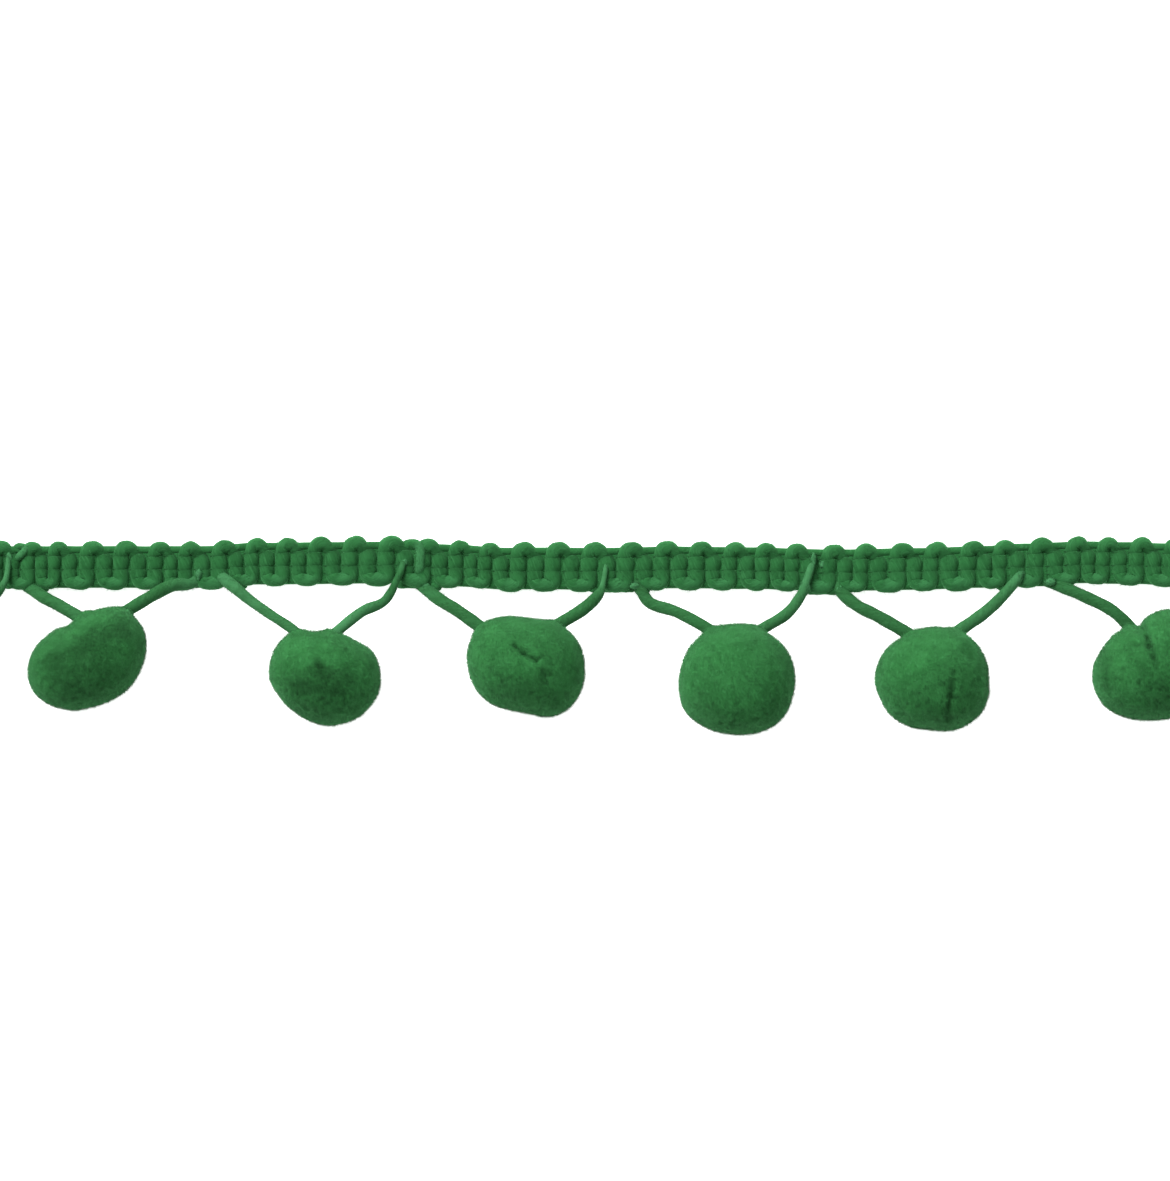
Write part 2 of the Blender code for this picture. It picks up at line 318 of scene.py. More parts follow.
def run_nodes(
    tree: bpy.types.NodeTree, source: bpy.types.Object, name: str, values: Mapping[str, object]
) -> bpy.types.Object:
    """Runs a Geometry Nodes group on an object and keeps the result as a plain mesh.

    Args:
        tree: the group.
        source: the object that it works on, which is left as it was.
        name: the new object's name.
        values: the group's inputs by name.

    Returns:
        A new object with the finished mesh and no modifier.
    """
    modifier = source.modifiers.new(tree.name, "NODES")
    modifier.node_group = tree
    for item in tree.interface.items_tree:
        if item.in_out == "INPUT" and item.name in values:
            modifier[item.identifier] = values[item.name]
    depsgraph = bpy.context.evaluated_depsgraph_get()
    mesh = bpy.data.meshes.new_from_object(
        source.evaluated_get(depsgraph), preserve_all_data_layers=True, depsgraph=depsgraph
    )
    source.modifiers.remove(modifier)
    mesh.name = name
    return add_object(name, mesh)


# ---------------------------------------------------------------------------
# Shared Geometry Nodes groups
# ---------------------------------------------------------------------------


def yarn_sweep_group() -> bpy.types.NodeTree:
    """The group that sweeps a round, plied yarn along a path.

    The path's points carry the attributes thick, the yarn's radius, and flat, its height as a
    share of its width. The mesh keeps the attribute lay, the yarn's own straightened space.

    Returns:
        The group.
    """
    graph = Graph(bpy.data.node_groups.new("yarn_sweep", "GeometryNodeTree"))
    taken = graph.takes(
        Path=("Geometry", None),
        Sides=("Int", 16),
        Plies=("Float", 2.0),
        PlyDepth=("Float", 0.03),
        TurnsPerMetre=("Float", 250.0),
        Finish=("Material", None),
    )
    position = graph.out("GeometryNodeInputPosition")

    def named(name: str, kind: str = "FLOAT") -> Socket:
        """The value of a named attribute."""
        return graph.out("GeometryNodeInputNamedAttribute", {"Name": name}, data_type=kind)

    ring = graph.out(
        "GeometryNodeCurvePrimitiveCircle",
        {"Resolution": taken["Sides"], "Radius": 1.0},
        mode="RADIUS",
    )
    ring = graph.stored(ring, "ring", position, "FLOAT_VECTOR")
    curve = graph.out("GeometryNodeMeshToCurve", {"Mesh": taken["Path"]})
    curve = graph.out("GeometryNodeSetCurveNormal", {"Curve": curve}, mode="Z_UP")
    curve = graph.stored(curve, "spine", position, "FLOAT_VECTOR")
    length = graph.node("GeometryNodeSplineParameter").outputs["Length"]
    curve = graph.stored(curve, "run", length, "FLOAT")
    tube = graph.out(
        "GeometryNodeCurveToMesh",
        {"Curve": curve, "Profile Curve": ring, "Scale": named("thick"), "Fill Caps": True},
    )

    side = graph.split(named("ring", "FLOAT_VECTOR"))
    turned = graph.math("MULTIPLY", taken["TurnsPerMetre"], math.tau)
    turned = graph.math("MULTIPLY", turned, named("run"))
    angle = graph.math("ADD", graph.math("ARCTAN2", side["Y"], side["X"]), turned)
    wave = graph.math("COSINE", graph.math("MULTIPLY", angle, taken["Plies"]))
    swell = graph.math("ADD", graph.math("MULTIPLY", wave, taken["PlyDepth"]), 1.0)
    spine = named("spine", "FLOAT_VECTOR")
    out = graph.scaled(graph.vector("SUBTRACT", position, spine), swell)
    out = graph.vector("MULTIPLY", out, graph.joined(1.0, 1.0, named("flat")))
    lay = graph.joined(graph.math("COSINE", angle), graph.math("SINE", angle), 0.0)
    lay = graph.scaled(lay, named("thick"))
    lay = graph.vector("ADD", lay, graph.joined(0.0, 0.0, named("run")))
    tube = graph.stored(tube, "lay", lay, "FLOAT_VECTOR")
    place = graph.vector("ADD", spine, out)
    tube = graph.out("GeometryNodeSetPosition", {"Geometry": tube, "Position": place})
    graph.gives(Yarn=("Geometry", graph.finished(tube, taken["Finish"])))
    return graph.tree


def fibre_group() -> bpy.types.NodeTree:
    """The group that stands short, pointed fibres on a surface, above a lowest height.

    Each fibre keeps the attribute nap, the surface's own normal where it stands.

    Returns:
        The group.
    """
    graph = Graph(bpy.data.node_groups.new("fibre_scatter", "GeometryNodeTree"))
    taken = graph.takes(
        Ground=("Geometry", None),
        PerSquareMetre=("Float", 1e7),
        Length=("Float", 0.0003),
        Thickness=("Float", 0.00003),
        Lean=("Float", 0.8),
        Uneven=("Float", 0.4),
        Lowest=("Float", 0.0004),
        Seed=("Int", 0),
        Finish=("Material", None),
    )
    height = graph.split(graph.out("GeometryNodeInputPosition"))["Z"]
    above = graph.out(
        "FunctionNodeCompare", {0: height, 1: taken["Lowest"]}, operation="GREATER_THAN"
    )
    points = graph.node(
        "GeometryNodeDistributePointsOnFaces",
        {
            "Mesh": taken["Ground"],
            "Selection": above,
            "Density": taken["PerSquareMetre"],
            "Seed": taken["Seed"],
        },
        distribute_method="RANDOM",
    ).outputs
    fibre = graph.out(
        "GeometryNodeMeshCone",
        {
            "Vertices": 3,
            "Side Segments": 1,
            "Fill Segments": 1,
            "Radius Top": 0.0,
            "Radius Bottom": graph.math("DIVIDE", taken["Thickness"], 2.0),
            "Depth": taken["Length"],
        },
        fill_type="NGON",
    )
    most = graph.joined(taken["Lean"], taken["Lean"], math.pi)
    leaning = graph.out(
        "FunctionNodeRandomValue",
        {0: graph.scaled(most, -1.0), 1: most, "Seed": taken["Seed"]},
        data_type="FLOAT_VECTOR",
    )
    turned = graph.out(
        "FunctionNodeRotateRotation",
        {"Rotation": points["Rotation"], "Rotate By": leaning},
        rotation_space="LOCAL",
    )
    stretch = graph.node(
        "FunctionNodeRandomValue",
        {
            2: graph.math("SUBTRACT", 1.0, taken["Uneven"]),
            3: graph.math("ADD", 1.0, taken["Uneven"]),
            "Seed": graph.math("ADD", taken["Seed"], 1.0),
        },
        data_type="FLOAT",
    ).outputs[1]
    stood = graph.out(
        "GeometryNodeInstanceOnPoints",
        {
            "Points": graph.stored(points["Points"], "nap", points["Normal"], "FLOAT_VECTOR"),
            "Instance": fibre,
            "Rotation": turned,
            "Scale": graph.joined(1.0, 1.0, stretch),
        },
    )
    graph.gives(Fibres=("Geometry", graph.finished(stood, taken["Finish"])))
    return graph.tree


# ---------------------------------------------------------------------------
# Finishes
# ---------------------------------------------------------------------------

# The parts of the broad and of the fine noise over which one tone turns into the next.
BROAD_BAND = (0.36, 0.62)
FINE_BAND = (0.50, 0.75)
# The tones along a yarn are drawn out by this.
STREAK = (1.0, 1.0, 0.2)
# The pale colour of frayed fibres, also mixed in as painted light on some leg cords.
FRAYED_AND_PAINTED_LIGHT: Colour = (0.066, 0.232, 0.098, 1.0)


def tone_group() -> bpy.types.NodeTree:
    """The shader group that mottles three tones of one dye at two sizes.

    Returns:
        The group.
    """
    graph = Graph(bpy.data.node_groups.new("dye_tones", "ShaderNodeTree"))
    taken = graph.takes(
        Place=("Vector", None),
        Scale=("Float", 900.0),
        FineScale=("Float", 3500.0),
        Dark=("Color", (0.02, 0.1, 0.03, 1.0)),
        Middle=("Color", (0.03, 0.15, 0.04, 1.0)),
        Light=("Color", (0.05, 0.2, 0.07, 1.0)),
    )

    def cloud(scale: Socket, detail: float) -> Socket:
        """A noise of this scale over the place."""
        inputs = {"Vector": taken["Place"], "Scale": scale, "Detail": detail}
        return graph.out("ShaderNodeTexNoise", inputs)

    broad = graph.spread(cloud(taken["Scale"], 3.0), *BROAD_BAND)
    fine = cloud(taken["FineScale"], 2.0)
    colour = graph.blend("MIX", broad, taken["Dark"], taken["Middle"])
    colour = graph.blend("MIX", graph.spread(fine, *FINE_BAND), colour, taken["Light"])
    graph.gives(Tone=("Color", colour), Grain=("Float", fine))
    return graph.tree


def soft_normal_group() -> bpy.types.NodeTree:
    """The shader group that turns a fibre's normal towards that of the surface it stands on.

    Returns:
        The group.
    """
    graph = Graph(bpy.data.node_groups.new("soft_normal", "ShaderNodeTree"))
    taken = graph.takes(Normal=("Vector", None), Share=("Float", 0.7))
    nap = graph.out(
        "ShaderNodeVectorTransform",
        {"Vector": graph.worn("nap", "Vector")},
        vector_type="VECTOR",
        convert_from="OBJECT",
        convert_to="WORLD",
    )
    own = graph.scaled(taken["Normal"], graph.math("SUBTRACT", 1.0, taken["Share"]))
    soft = graph.vector("ADD", own, graph.scaled(nap, taken["Share"]))
    graph.gives(Normal=("Vector", graph.vector("NORMALIZE", soft)))
    return graph.tree


@dataclass(frozen=True)
class Dye:
    """Three tones of one dye, from the fibres' shaded parts to their lit ends."""

    dark: Colour
    middle: Colour
    light: Colour


@dataclass(frozen=True)
class SoftFinish:
    """What the pile and the yarns have in common: a dull, slightly hazy surface of fibres."""

    name: str
    dye: Dye
    scale: float = 800.0
    fine_scale: float = 4200.0
    relief: float = 0.5
    relief_depth: float = 0.05
    roughness: float = 0.9
    gloss: float = 0.08
    haze: float = 0.10
    haze_spread: float = 0.5
    haze_tint: Colour = (0.25, 0.9, 0.35, 1.0)
    softness: float = 0.75

    def place(self, graph: Graph) -> Socket:
        """Where the tones are read."""
        return graph.place()

    def shade(self, graph: Graph) -> Socket:
        """How much of its colour each place keeps under painted shade, from 0 to 1; painted light
        takes it above 1.
        """
        raise NotImplementedError

    def make(self, shop: Workshop) -> bpy.types.Material:
        """Builds the material.

        Args:
            shop: the shared node groups.

        Returns:
            The material.
        """
        material = bpy.data.materials.new(self.name)
        material.use_nodes = True
        material.diffuse_color = self.dye.middle
        graph = Graph(material.node_tree)
        tone = graph.node(
            "ShaderNodeGroup",
            {
                "Place": self.place(graph),
                "Scale": self.scale,
                "FineScale": self.fine_scale,
                "Dark": self.dye.dark,
                "Middle": self.dye.middle,
                "Light": self.dye.light,
            },
            node_tree=shop.tones,
        ).outputs
        shade = self.shade(graph)
        grey = graph.out("ShaderNodeCombineColor", {0: shade, 1: shade, 2: shade})
        colour = graph.blend("MULTIPLY", 1.0, tone["Tone"], grey)
        # Fray makes the colour paler, and on some leg cords painted light does too.
        frayed_and_painted_light = graph.math("MAXIMUM", graph.worn("fray_and_painted_shading"), 0.0)
        bump = graph.out(
            "ShaderNodeBump",
            {
                "Strength": self.relief,
                "Distance": self.relief_depth * MM,
                "Height": tone["Grain"],
            },
        )
        soft = graph.out(
            "ShaderNodeGroup",
            {"Normal": bump, "Share": self.softness},
            node_tree=shop.soft_normals,
        )
        graph.feed(
            graph.tree.nodes["Principled BSDF"],
            {
                "Base Color": graph.blend("MIX", frayed_and_painted_light, colour, FRAYED_AND_PAINTED_LIGHT),
                "Normal": soft,
                "Roughness": self.roughness,
                "Specular IOR Level": self.gloss,
                "Sheen Weight": self.haze,
                "Sheen Roughness": self.haze_spread,
                "Sheen Tint": self.haze_tint,
            },
        )
        return material


@dataclass(frozen=True)
class PileFinish(SoftFinish):
    """The dense clipped pile of the pompoms; a stored attribute paints shade into its hollows,
    creases and shaded side, and light where it is below zero.
    """

    # How strongly the stored painted shade and light show.
    painted_pile_shading: float = 0.5

    def shade(self, graph: Graph) -> Socket:
        """Painted shade where the stored shading is high, painted light where it is below zero."""
        return graph.math("SUBTRACT", 1.0, graph.math("MULTIPLY", graph.worn("painted_pile_shading"), self.painted_pile_shading))


@dataclass(frozen=True)
class YarnFinish(SoftFinish):
    """Soft spun yarn, streaked along its fibres, with painted shade down in the grooves.

    Where the fray attribute is below zero, that is painted shade too.
    """

    # Painted shade: the share of the colour kept at groove_low and below, rising to all of it at
    # groove_high.
    deep: float = 0.60
    groove_low: float = 0.35
    groove_high: float = 1.65

    def place(self, graph: Graph) -> Socket:
        """The attribute lay, the yarn's straightened space, drawn out along the yarn."""
        return graph.vector("MULTIPLY", graph.worn("lay", "Vector"), STREAK)

    def shade(self, graph: Graph) -> Socket:
        """Painted shade low down, between the yarns, and where the fray attribute is below zero.

        Args:
            graph: the material's tree.

        Returns:
            The share of the colour that is kept.
        """
        height = graph.split(graph.place())["Z"]
        # Painted shade: the lower parts of the yarn, down in the grooves, keep less of their
        # colour.
        lit = graph.spread(height, self.groove_low * MM, self.groove_high * MM)
        lit = graph.math("ADD", graph.math("MULTIPLY", lit, 1 - self.deep), self.deep)
        # Painted shade where the fray attribute is below zero.
        painted_yarn_shade = graph.math("MINIMUM", graph.worn("fray_and_painted_shading"), 0.0)
        return graph.math("MULTIPLY", lit, graph.math("ADD", painted_yarn_shade, 1.0))


@dataclass(frozen=True)
class FloorFinish:
    """The plain white table top, lit a little from within so that it stays white."""

    name: str = "table_top"
    tone: float = 0.93
    stray: float = 0.01
    cloud_scale: float = 6.0
    roughness: float = 0.9
    gloss: float = 0.1
    glow: float = 0.85
    glow_tint: Colour = (1.0, 1.0, 1.0, 1.0)

    def make(self) -> bpy.types.Material:
        """Builds the material, with the slightest unevenness in its tone.

        Returns:
            The material.
        """
        material = bpy.data.materials.new(self.name)
        material.use_nodes = True
        graph = Graph(material.node_tree)
        inputs = {"Vector": graph.place(), "Scale": self.cloud_scale}
        cloud = graph.out("ShaderNodeTexNoise", inputs)
        low = (*[self.tone - self.stray] * 3, 1.0)
        high = (*[self.tone + self.stray] * 3, 1.0)
        graph.feed(
            graph.tree.nodes["Principled BSDF"],
            {
                "Base Color": graph.blend("MIX", cloud, low, high),
                "Roughness": self.roughness,
                "Specular IOR Level": self.gloss,
                "Emission Color": self.glow_tint,
                "Emission Strength": self.glow,
            },
        )
        return material


@dataclass
class Workshop:
    """The node groups and materials that the pieces share."""

    sweep: bpy.types.NodeTree = field(default_factory=yarn_sweep_group)
    fibres: bpy.types.NodeTree = field(default_factory=fibre_group)
    tones: bpy.types.NodeTree = field(default_factory=tone_group)
    soft_normals: bpy.types.NodeTree = field(default_factory=soft_normal_group)
    materials: dict[str, bpy.types.Material] = field(default_factory=dict)

    def material(self, finish: SoftFinish) -> bpy.types.Material:
        """The material of a finish, made once.

        Args:
            finish: the finish.

        Returns:
            Its material.
        """
        if finish.name not in self.materials:
            self.materials[finish.name] = finish.make(self)
        return self.materials[finish.name]


# ---------------------------------------------------------------------------
# Yarns and naps
# ---------------------------------------------------------------------------


@dataclass(frozen=True)
class Strand:
    """One yarn to be swept: its middle line in millimetres, radii and height shares.

    How frayed, and so how pale, it is at each point goes from 0 to 1, and on some leg cords
    painted light adds to it. Less than 0 is painted shade instead, and none means 0 all along.
    """

    points: Sequence[Vector]
    thick: Sequence[float]
    flat: Sequence[float]
    fray_and_painted_shading: Sequence[float] | None = None


def even_strand(points: Sequence[Vector], thick: float, flat: float, fray_and_painted_shading: float) -> Strand:
    """A strand that is the same all along."""
    return Strand(points, *([value] * len(points) for value in (thick, flat, fray_and_painted_shading)))


def path_object(name: str, strands: Iterable[Strand]) -> bpy.types.Object:
    """Makes an object of plain edges, with the radius, height share, fray and painted shading of
    each point.

    Args:
        name: the object's name.
        strands: the yarns, in millimetres.

    Returns:
        The object, in metres.
    """
    verts: list[Vector] = []
    edges: list[tuple[int, int]] = []
    worn: dict[str, list[float]] = {"thick": [], "flat": [], "fray_and_painted_shading": []}
    for strand in strands:
        start = len(verts)
        verts.extend(point * MM for point in strand.points)
        edges.extend((k, k + 1) for k in range(start, len(verts) - 1))
        worn["thick"].extend(radius * MM for radius in strand.thick)
        worn["flat"].extend(strand.flat)
        worn["fray_and_painted_shading"].extend(strand.fray_and_painted_shading or [0.0] * len(strand.points))
    mesh = bpy.data.meshes.new(name)
    mesh.from_pydata(verts, edges, [])
    for label, values in worn.items():
        mesh.attributes.new(label, "FLOAT", "POINT").data.foreach_set("value", values)
    return add_object(name, mesh)


@dataclass(frozen=True)
class Spin:
    """How a yarn is spun: from how many plies, how far they stand out and how tightly they turn.

    The sides are those of its mesh, the depth is a share of the radius, and the turns are those
    in a metre.
    """

    sides: int
    plies: float
    ply_depth: float
    turns: float

    def sweep(
        self, shop: Workshop, name: str, strands: Iterable[Strand], finish: YarnFinish
    ) -> bpy.types.Object:
        """Sweeps yarns along their paths and keeps the result as one plain mesh.

        Args:
            shop: the shared groups and materials.
            name: the piece's name.
            strands: the yarns, in millimetres.
            finish: their finish.

        Returns:
            The piece.
        """
        path = path_object(f"{name}_path", strands)
        values = {
            "Sides": self.sides,
            "Plies": self.plies,
            "PlyDepth": self.ply_depth,
            "TurnsPerMetre": self.turns,
            "Finish": shop.material(finish),
        }
        piece = run_nodes(shop.sweep, path, name, values)
        bpy.data.objects.remove(path)
        for label in ("thick", "flat", "ring", "spine", "run"):
            layer = piece.data.attributes.get(label)
            if layer is not None:
                piece.data.attributes.remove(layer)
        return piece


@dataclass(frozen=True)
class Nap:
    """A growth of short fibres on a surface; lengths are millimetres, and the lean is radians."""

    per_square_mm: float
    length: float
    thickness: float
    lean: float
    uneven: float
    lowest: float

    def grow(
        self, shop: Workshop, ground: bpy.types.Object, name: str, finish: SoftFinish, seed: int
    ) -> bpy.types.Object:
        """Grows the fibres on a piece.

        Args:
            shop: the shared groups and materials.
            ground: the piece that they stand on.
            name: the name of the fibres' own piece.
            finish: their finish.
            seed: the seed of their places.

        Returns:
            The fibres.
        """
        values = {
            "PerSquareMetre": self.per_square_mm / MM**2,
            "Length": self.length * MM,
            "Thickness": self.thickness * MM,
            "Lean": self.lean,
            "Uneven": self.uneven,
            "Lowest": self.lowest * MM,
            "Seed": seed,
            "Finish": shop.material(finish),
        }
        return run_nodes(shop.fibres, ground, name, values)


def mount(piece: bpy.types.Object, slot: Slot, *replaced: str) -> None:
    """Rides a piece on the root body and hides the solids it stands for.

    Args:
        piece: the piece.
        slot: not used.
        replaced: the nodes that it replaces.
    """
    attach(piece, ROOT_BODY)
    if replaced:
        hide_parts(*replaced)
    LOG.info("%s: %d faces", piece.name, len(piece.data.polygons))


# ---------------------------------------------------------------------------
# Heading
# ---------------------------------------------------------------------------

BRAID_YARN = YarnFinish(
    name="braid_yarn_soft",
    dye=Dye(
        dark=(0.013, 0.084, 0.022, 1.0),
        middle=(0.0175, 0.106, 0.029, 1.0),
        light=(0.0255, 0.131, 0.040, 1.0),
    ),
    scale=1500.0,
    fine_scale=6500.0,
    haze=0.35,
    # Painted shade in the braid's grooves.
    deep=0.85,
    groove_low=0.6,
    groove_high=1.35,
)
BRAID_SPIN = Spin(sides=18, plies=3.0, ply_depth=0.022, turns=160.0)
THREAD_SPIN = Spin(sides=6, plies=2.0, ply_depth=0.12, turns=1500.0)
CORE_SPIN = Spin(sides=8, plies=2.0, ply_depth=0.02, turns=400.0)
BRAID_NAP = Nap(
    per_square_mm=7.0, length=0.42, thickness=0.022, lean=1.25, uneven=0.5, lowest=0.72
)
# One loop of the thick yarn, from the middle of one top turn to the middle of the next: place
# in loops from the loop's middle, y and z of the yarn's middle, its half width and height, and
# its painted shade there: shade under the bumps, at the binding threads and down the grooves,
# and painted light on the top and bottom turns where it is below zero.
LOOP_COLUMNS = ("at", "y", "z", "wide", "tall", "dark")
LOOP = (
    (-0.500, 1.80, 1.06, 0.62, 0.62, -0.03),
    (-0.435, 1.76, 1.03, 0.60, 0.61, -0.05),
    (-0.375, 1.62, 0.95, 0.57, 0.57, -0.05),
    (-0.315, 1.42, 0.86, 0.56, 0.53, 0.05),
    (-0.240, 1.22, 0.77, 0.60, 0.50, 0.42),
    (-0.190, 0.96, 0.77, 0.65, 0.50, 0.52),
    (-0.185, 0.74, 0.89, 0.70, 0.57, 0.30),
    (-0.185, 0.48, 0.99, 0.72, 0.60, 0.08),
    (-0.185, 0.20, 0.96, 0.71, 0.59, 0.05),
    (-0.185, -0.02, 0.89, 0.70, 0.56, 0.14),
    (-0.185, -0.17, 0.86, 0.69, 0.55, 0.30),
    (-0.185, -0.32, 0.89, 0.70, 0.56, 0.32),
    (-0.185, -0.56, 0.97, 0.71, 0.59, 0.14),
    (-0.183, -0.78, 0.96, 0.70, 0.58, 0.03),
    (-0.178, -0.96, 0.93, 0.68, 0.57, 0.08),
    (-0.145, -1.19, 1.00, 0.66, 0.60, 0.02),
    (-0.065, -1.37, 1.00, 0.61, 0.58, -0.08),
    (0.050, -1.43, 1.02, 0.59, 0.58, -0.12),
    (0.175, -1.43, 1.02, 0.60, 0.58, -0.13),
    (0.295, -1.30, 1.00, 0.63, 0.59, -0.12),
    (0.325, -1.02, 0.99, 0.67, 0.60, -0.04),
    (0.310, -0.66, 0.99, 0.71, 0.60, 0.12),
    (0.308, -0.34, 0.90, 0.70, 0.57, 0.32),
    (0.308, -0.17, 0.86, 0.69, 0.55, 0.30),
    (0.308, -0.02, 0.89, 0.70, 0.56, 0.14),
    (0.308, 0.20, 0.96, 0.71, 0.59, 0.02),
    (0.308, 0.48, 1.00, 0.72, 0.60, 0.01),
    (0.304, 0.76, 0.97, 0.70, 0.59, 0.13),
    (0.300, 0.96, 0.92, 0.68, 0.57, 0.30),
    (0.297, 1.14, 0.94, 0.66, 0.58, 0.24),
    (0.300, 1.34, 1.00, 0.64, 0.60, 0.06),
    (0.317, 1.56, 1.03, 0.62, 0.61, -0.05),
    (0.368, 1.71, 1.05, 0.62, 0.62, -0.05),
    (0.438, 1.79, 1.06, 0.62, 0.62, -0.03),
)
LOOP_STEPS = 2
LOOP_LEAN = 0.03
LOOP_TOP = LOOP[0][1]
# The yarn's own ends lie inside the braid: where its first loop starts, and how far down its
# last one goes.
FIRST_AT = -0.27
LAST_Y = 1.30
YARN_UNEVEN = 0.05
YARN_WANDER = 0.04
LUMP_PITCH = 0.9
TABLE_GAP = 0.02
# The binding threads: y, z over a bar, z in a groove, and radius.
WARPS = (
    (1.02, 1.30, 0.96, 0.090),
    (-0.18, 1.28, 0.94, 0.100),
    (-0.92, 1.29, 0.95, 0.070),
)
# Painted shade on the binding threads, which lie down in the pinches.
WARP_PAINTED_SHADE = 0.42
WARP_STEPS = 16
WARP_START = -0.28
WARP_SHORT = 7
WARP_SWAY = 0.03
WARP_SEEDS = 100
# How quickly a thread sways along the trim, from one thread to the next and from step to step.
WARP_PITCH = (0.6, 7.0, 0.1)
# The straight cords inside the loops: the first and last place across the braid, how many, the
# height of their middle, their half width, how much higher than wide they are and how much
# painted shade they get. The last one runs along the bumped edge and shows between the bumps.
FILLERS = (
    (-1.44, 1.40, 14, 0.60, 0.40, 1.30, 0.00),
    (1.61, 1.61, 1, 0.93, 0.34, 1.00, 0.02),
)
FILLER_STEPS = 4
FILLER_SWAY = 0.03
FILLER_PITCH = (0.4, 5.0, 3.0)


@dataclass
class Braid:
    """The heading: a thick yarn in close loops, bound by thin threads."""

    shop: Workshop
    seed: int = 11
    loops: int = LOOPS_PER_SWAG * (len(JOINS) - 1) + 1

    def meander(self) -> Strand:
        """The thick yarn's way through all the loops.

        Returns:
            The yarn.
        """
        chance = random.Random(self.seed)
        points: list[Vector] = []
        sizes: list[Vector] = []
        for loop in range(self.loops):
            lean = chance.uniform(-LOOP_LEAN, LOOP_LEAN)
            swell = 1 + chance.uniform(-YARN_UNEVEN, YARN_UNEVEN)
            for row in LOOP:
                step = dict(zip(LOOP_COLUMNS, row))
                if loop == 0 and step["at"] < FIRST_AT:
                    continue
                x = loop_x(loop + step["at"]) + lean * (LOOP_TOP - step["y"])
                y = step["y"] + drift_at(x)
                y += chance.uniform(-YARN_WANDER, YARN_WANDER)
                points.append(Vector((x, y, step["z"])))
                wide = step["wide"] * crowding(loop + step["at"])
                sizes.append(Vector((wide * swell, step["tall"] * swell, step["dark"])))
        cut = next(k for k in range(len(points) - 1, 0, -1) if points[k].y < LAST_Y) + 1
        route = smooth_route(points[:cut], LOOP_STEPS)
        size = smooth_route(sizes[:cut], LOOP_STEPS)
        thick = []
        for place, (wide, tall, _) in zip(route, size):
            lumps = 1 + YARN_UNEVEN * noise.noise(place * LUMP_PITCH)
            thick.append(wide * lumps)
            place.z = max(place.z, tall * lumps + TABLE_GAP)
        # The loops' painted shade and light go into the fray attribute, with their sign turned.
        return Strand(route, thick, [both.y / both.x for both in size], [-both.z for both in size])

    def warp(self, y: float, over: float, under: float, thick: float) -> Strand:
        """One binding thread, which dips into every groove.

        Args:
            y: its place across the braid.
            over: the height of its middle over a bar.
            under: the height of its middle in a groove.
            thick: its radius.

        Returns:
            The thread.
        """
        chance = random.Random(self.seed + int(y * WARP_SEEDS))
        along, across, jitter = WARP_PITCH
        points = []
        for step in range(self.loops * WARP_STEPS - WARP_SHORT):
            loops = step / WARP_STEPS + WARP_START
            x = loop_x(loops)
            wave = 0.5 - 0.5 * math.cos(loops * 2 * math.tau)
            place = Vector((x, y + drift_at(x), under + (over - under) * wave))
            sway = Vector((x * along, y * across, chance.random() * jitter))
            place.y += WARP_SWAY * noise.noise(sway)
            points.append(place)
        return even_strand(points, thick, 1.0, -WARP_PAINTED_SHADE)

    def fillers(self) -> list[Strand]:
        """The straight cords inside the loops, which close the braid from behind.

        Returns:
            The cords.
        """
        along, across, level = FILLER_PITCH
        made = []
        for first, last, count, z, thick, flat, dark in FILLERS:
            for k in range(count):
                y = first + (last - first) * k / max(count - 1, 1)
                points = []
                for step in range(self.loops * FILLER_STEPS - 1):
                    x = loop_x((step - 1) / FILLER_STEPS)
                    sway = FILLER_SWAY * noise.noise(Vector((x * along, y * across, level)))
                    points.append(Vector((x, y + drift_at(x) + sway, z)))
                # The core's painted shade goes into the fray attribute, with its sign turned.
                made.append(even_strand(points, thick, flat, -dark))
        return made

    def build(self) -> None:
        """Builds the yarn, its threads and its core."""
        yarn = BRAID_SPIN.sweep(self.shop, "braid_yarn", [self.meander()], BRAID_YARN)
        mount(yarn, Slot.BRAID, "heading")
        threads = [self.warp(*row) for row in WARPS]
        mount(THREAD_SPIN.sweep(self.shop, "braid_threads", threads, BRAID_YARN), Slot.BRAID)
        core = CORE_SPIN.sweep(self.shop, "braid_core", self.fillers(), BRAID_YARN)
        mount(core, Slot.BRAID)
        self.dress(yarn)

    def dress(self, yarn: bpy.types.Object) -> None:
        """Grows the yarn's fine fuzz."""
        fuzz = BRAID_NAP.grow(self.shop, yarn, "braid_fuzz", BRAID_YARN, self.seed)
        mount(fuzz, Slot.BRAID)


# ---------------------------------------------------------------------------
# Pompoms
# ---------------------------------------------------------------------------

PILE = PileFinish(
    name="pompom_pile_soft",
    dye=Dye(
        dark=(0.020, 0.119, 0.030, 1.0),
        middle=(0.025, 0.140, 0.037, 1.0),
        light=(0.031, 0.158, 0.046, 1.0),
    ),
    scale=600.0,
    fine_scale=3000.0,
    haze=0.42,
    softness=0.82,
)
PILE_NAP = Nap(per_square_mm=70.0, length=0.26, thickness=0.034, lean=0.9, uneven=0.4, lowest=0.50)
LUMP_RISE = 0.12
LUMP_SCALE = 2.0
SQUASH = 0.95
FLAT_SPOT = 0.15
# The pile is drawn up a little where a leg cord goes in.
PULL_RISE = 0.32
PULL_WIDTH = 0.015
# Corners of a ball's mesh that are nearer than this are one, on a cube 2 wide.
WELD = 1e-5
# The ball under the pile is smaller by this, and its painted light goes no further than this.
PILE_DEPTH = 0.17
PALEST = -0.5
# Creases are felt above this height, as a share of the radius, and stray a little to the side.
CREASED_ABOVE = -0.2
CREASE_PITCH = 2.1
CREASE_LEVEL = 5.0
CREASE_STRAY = 0.8
CREASE_STRAY_MOST = 0.45


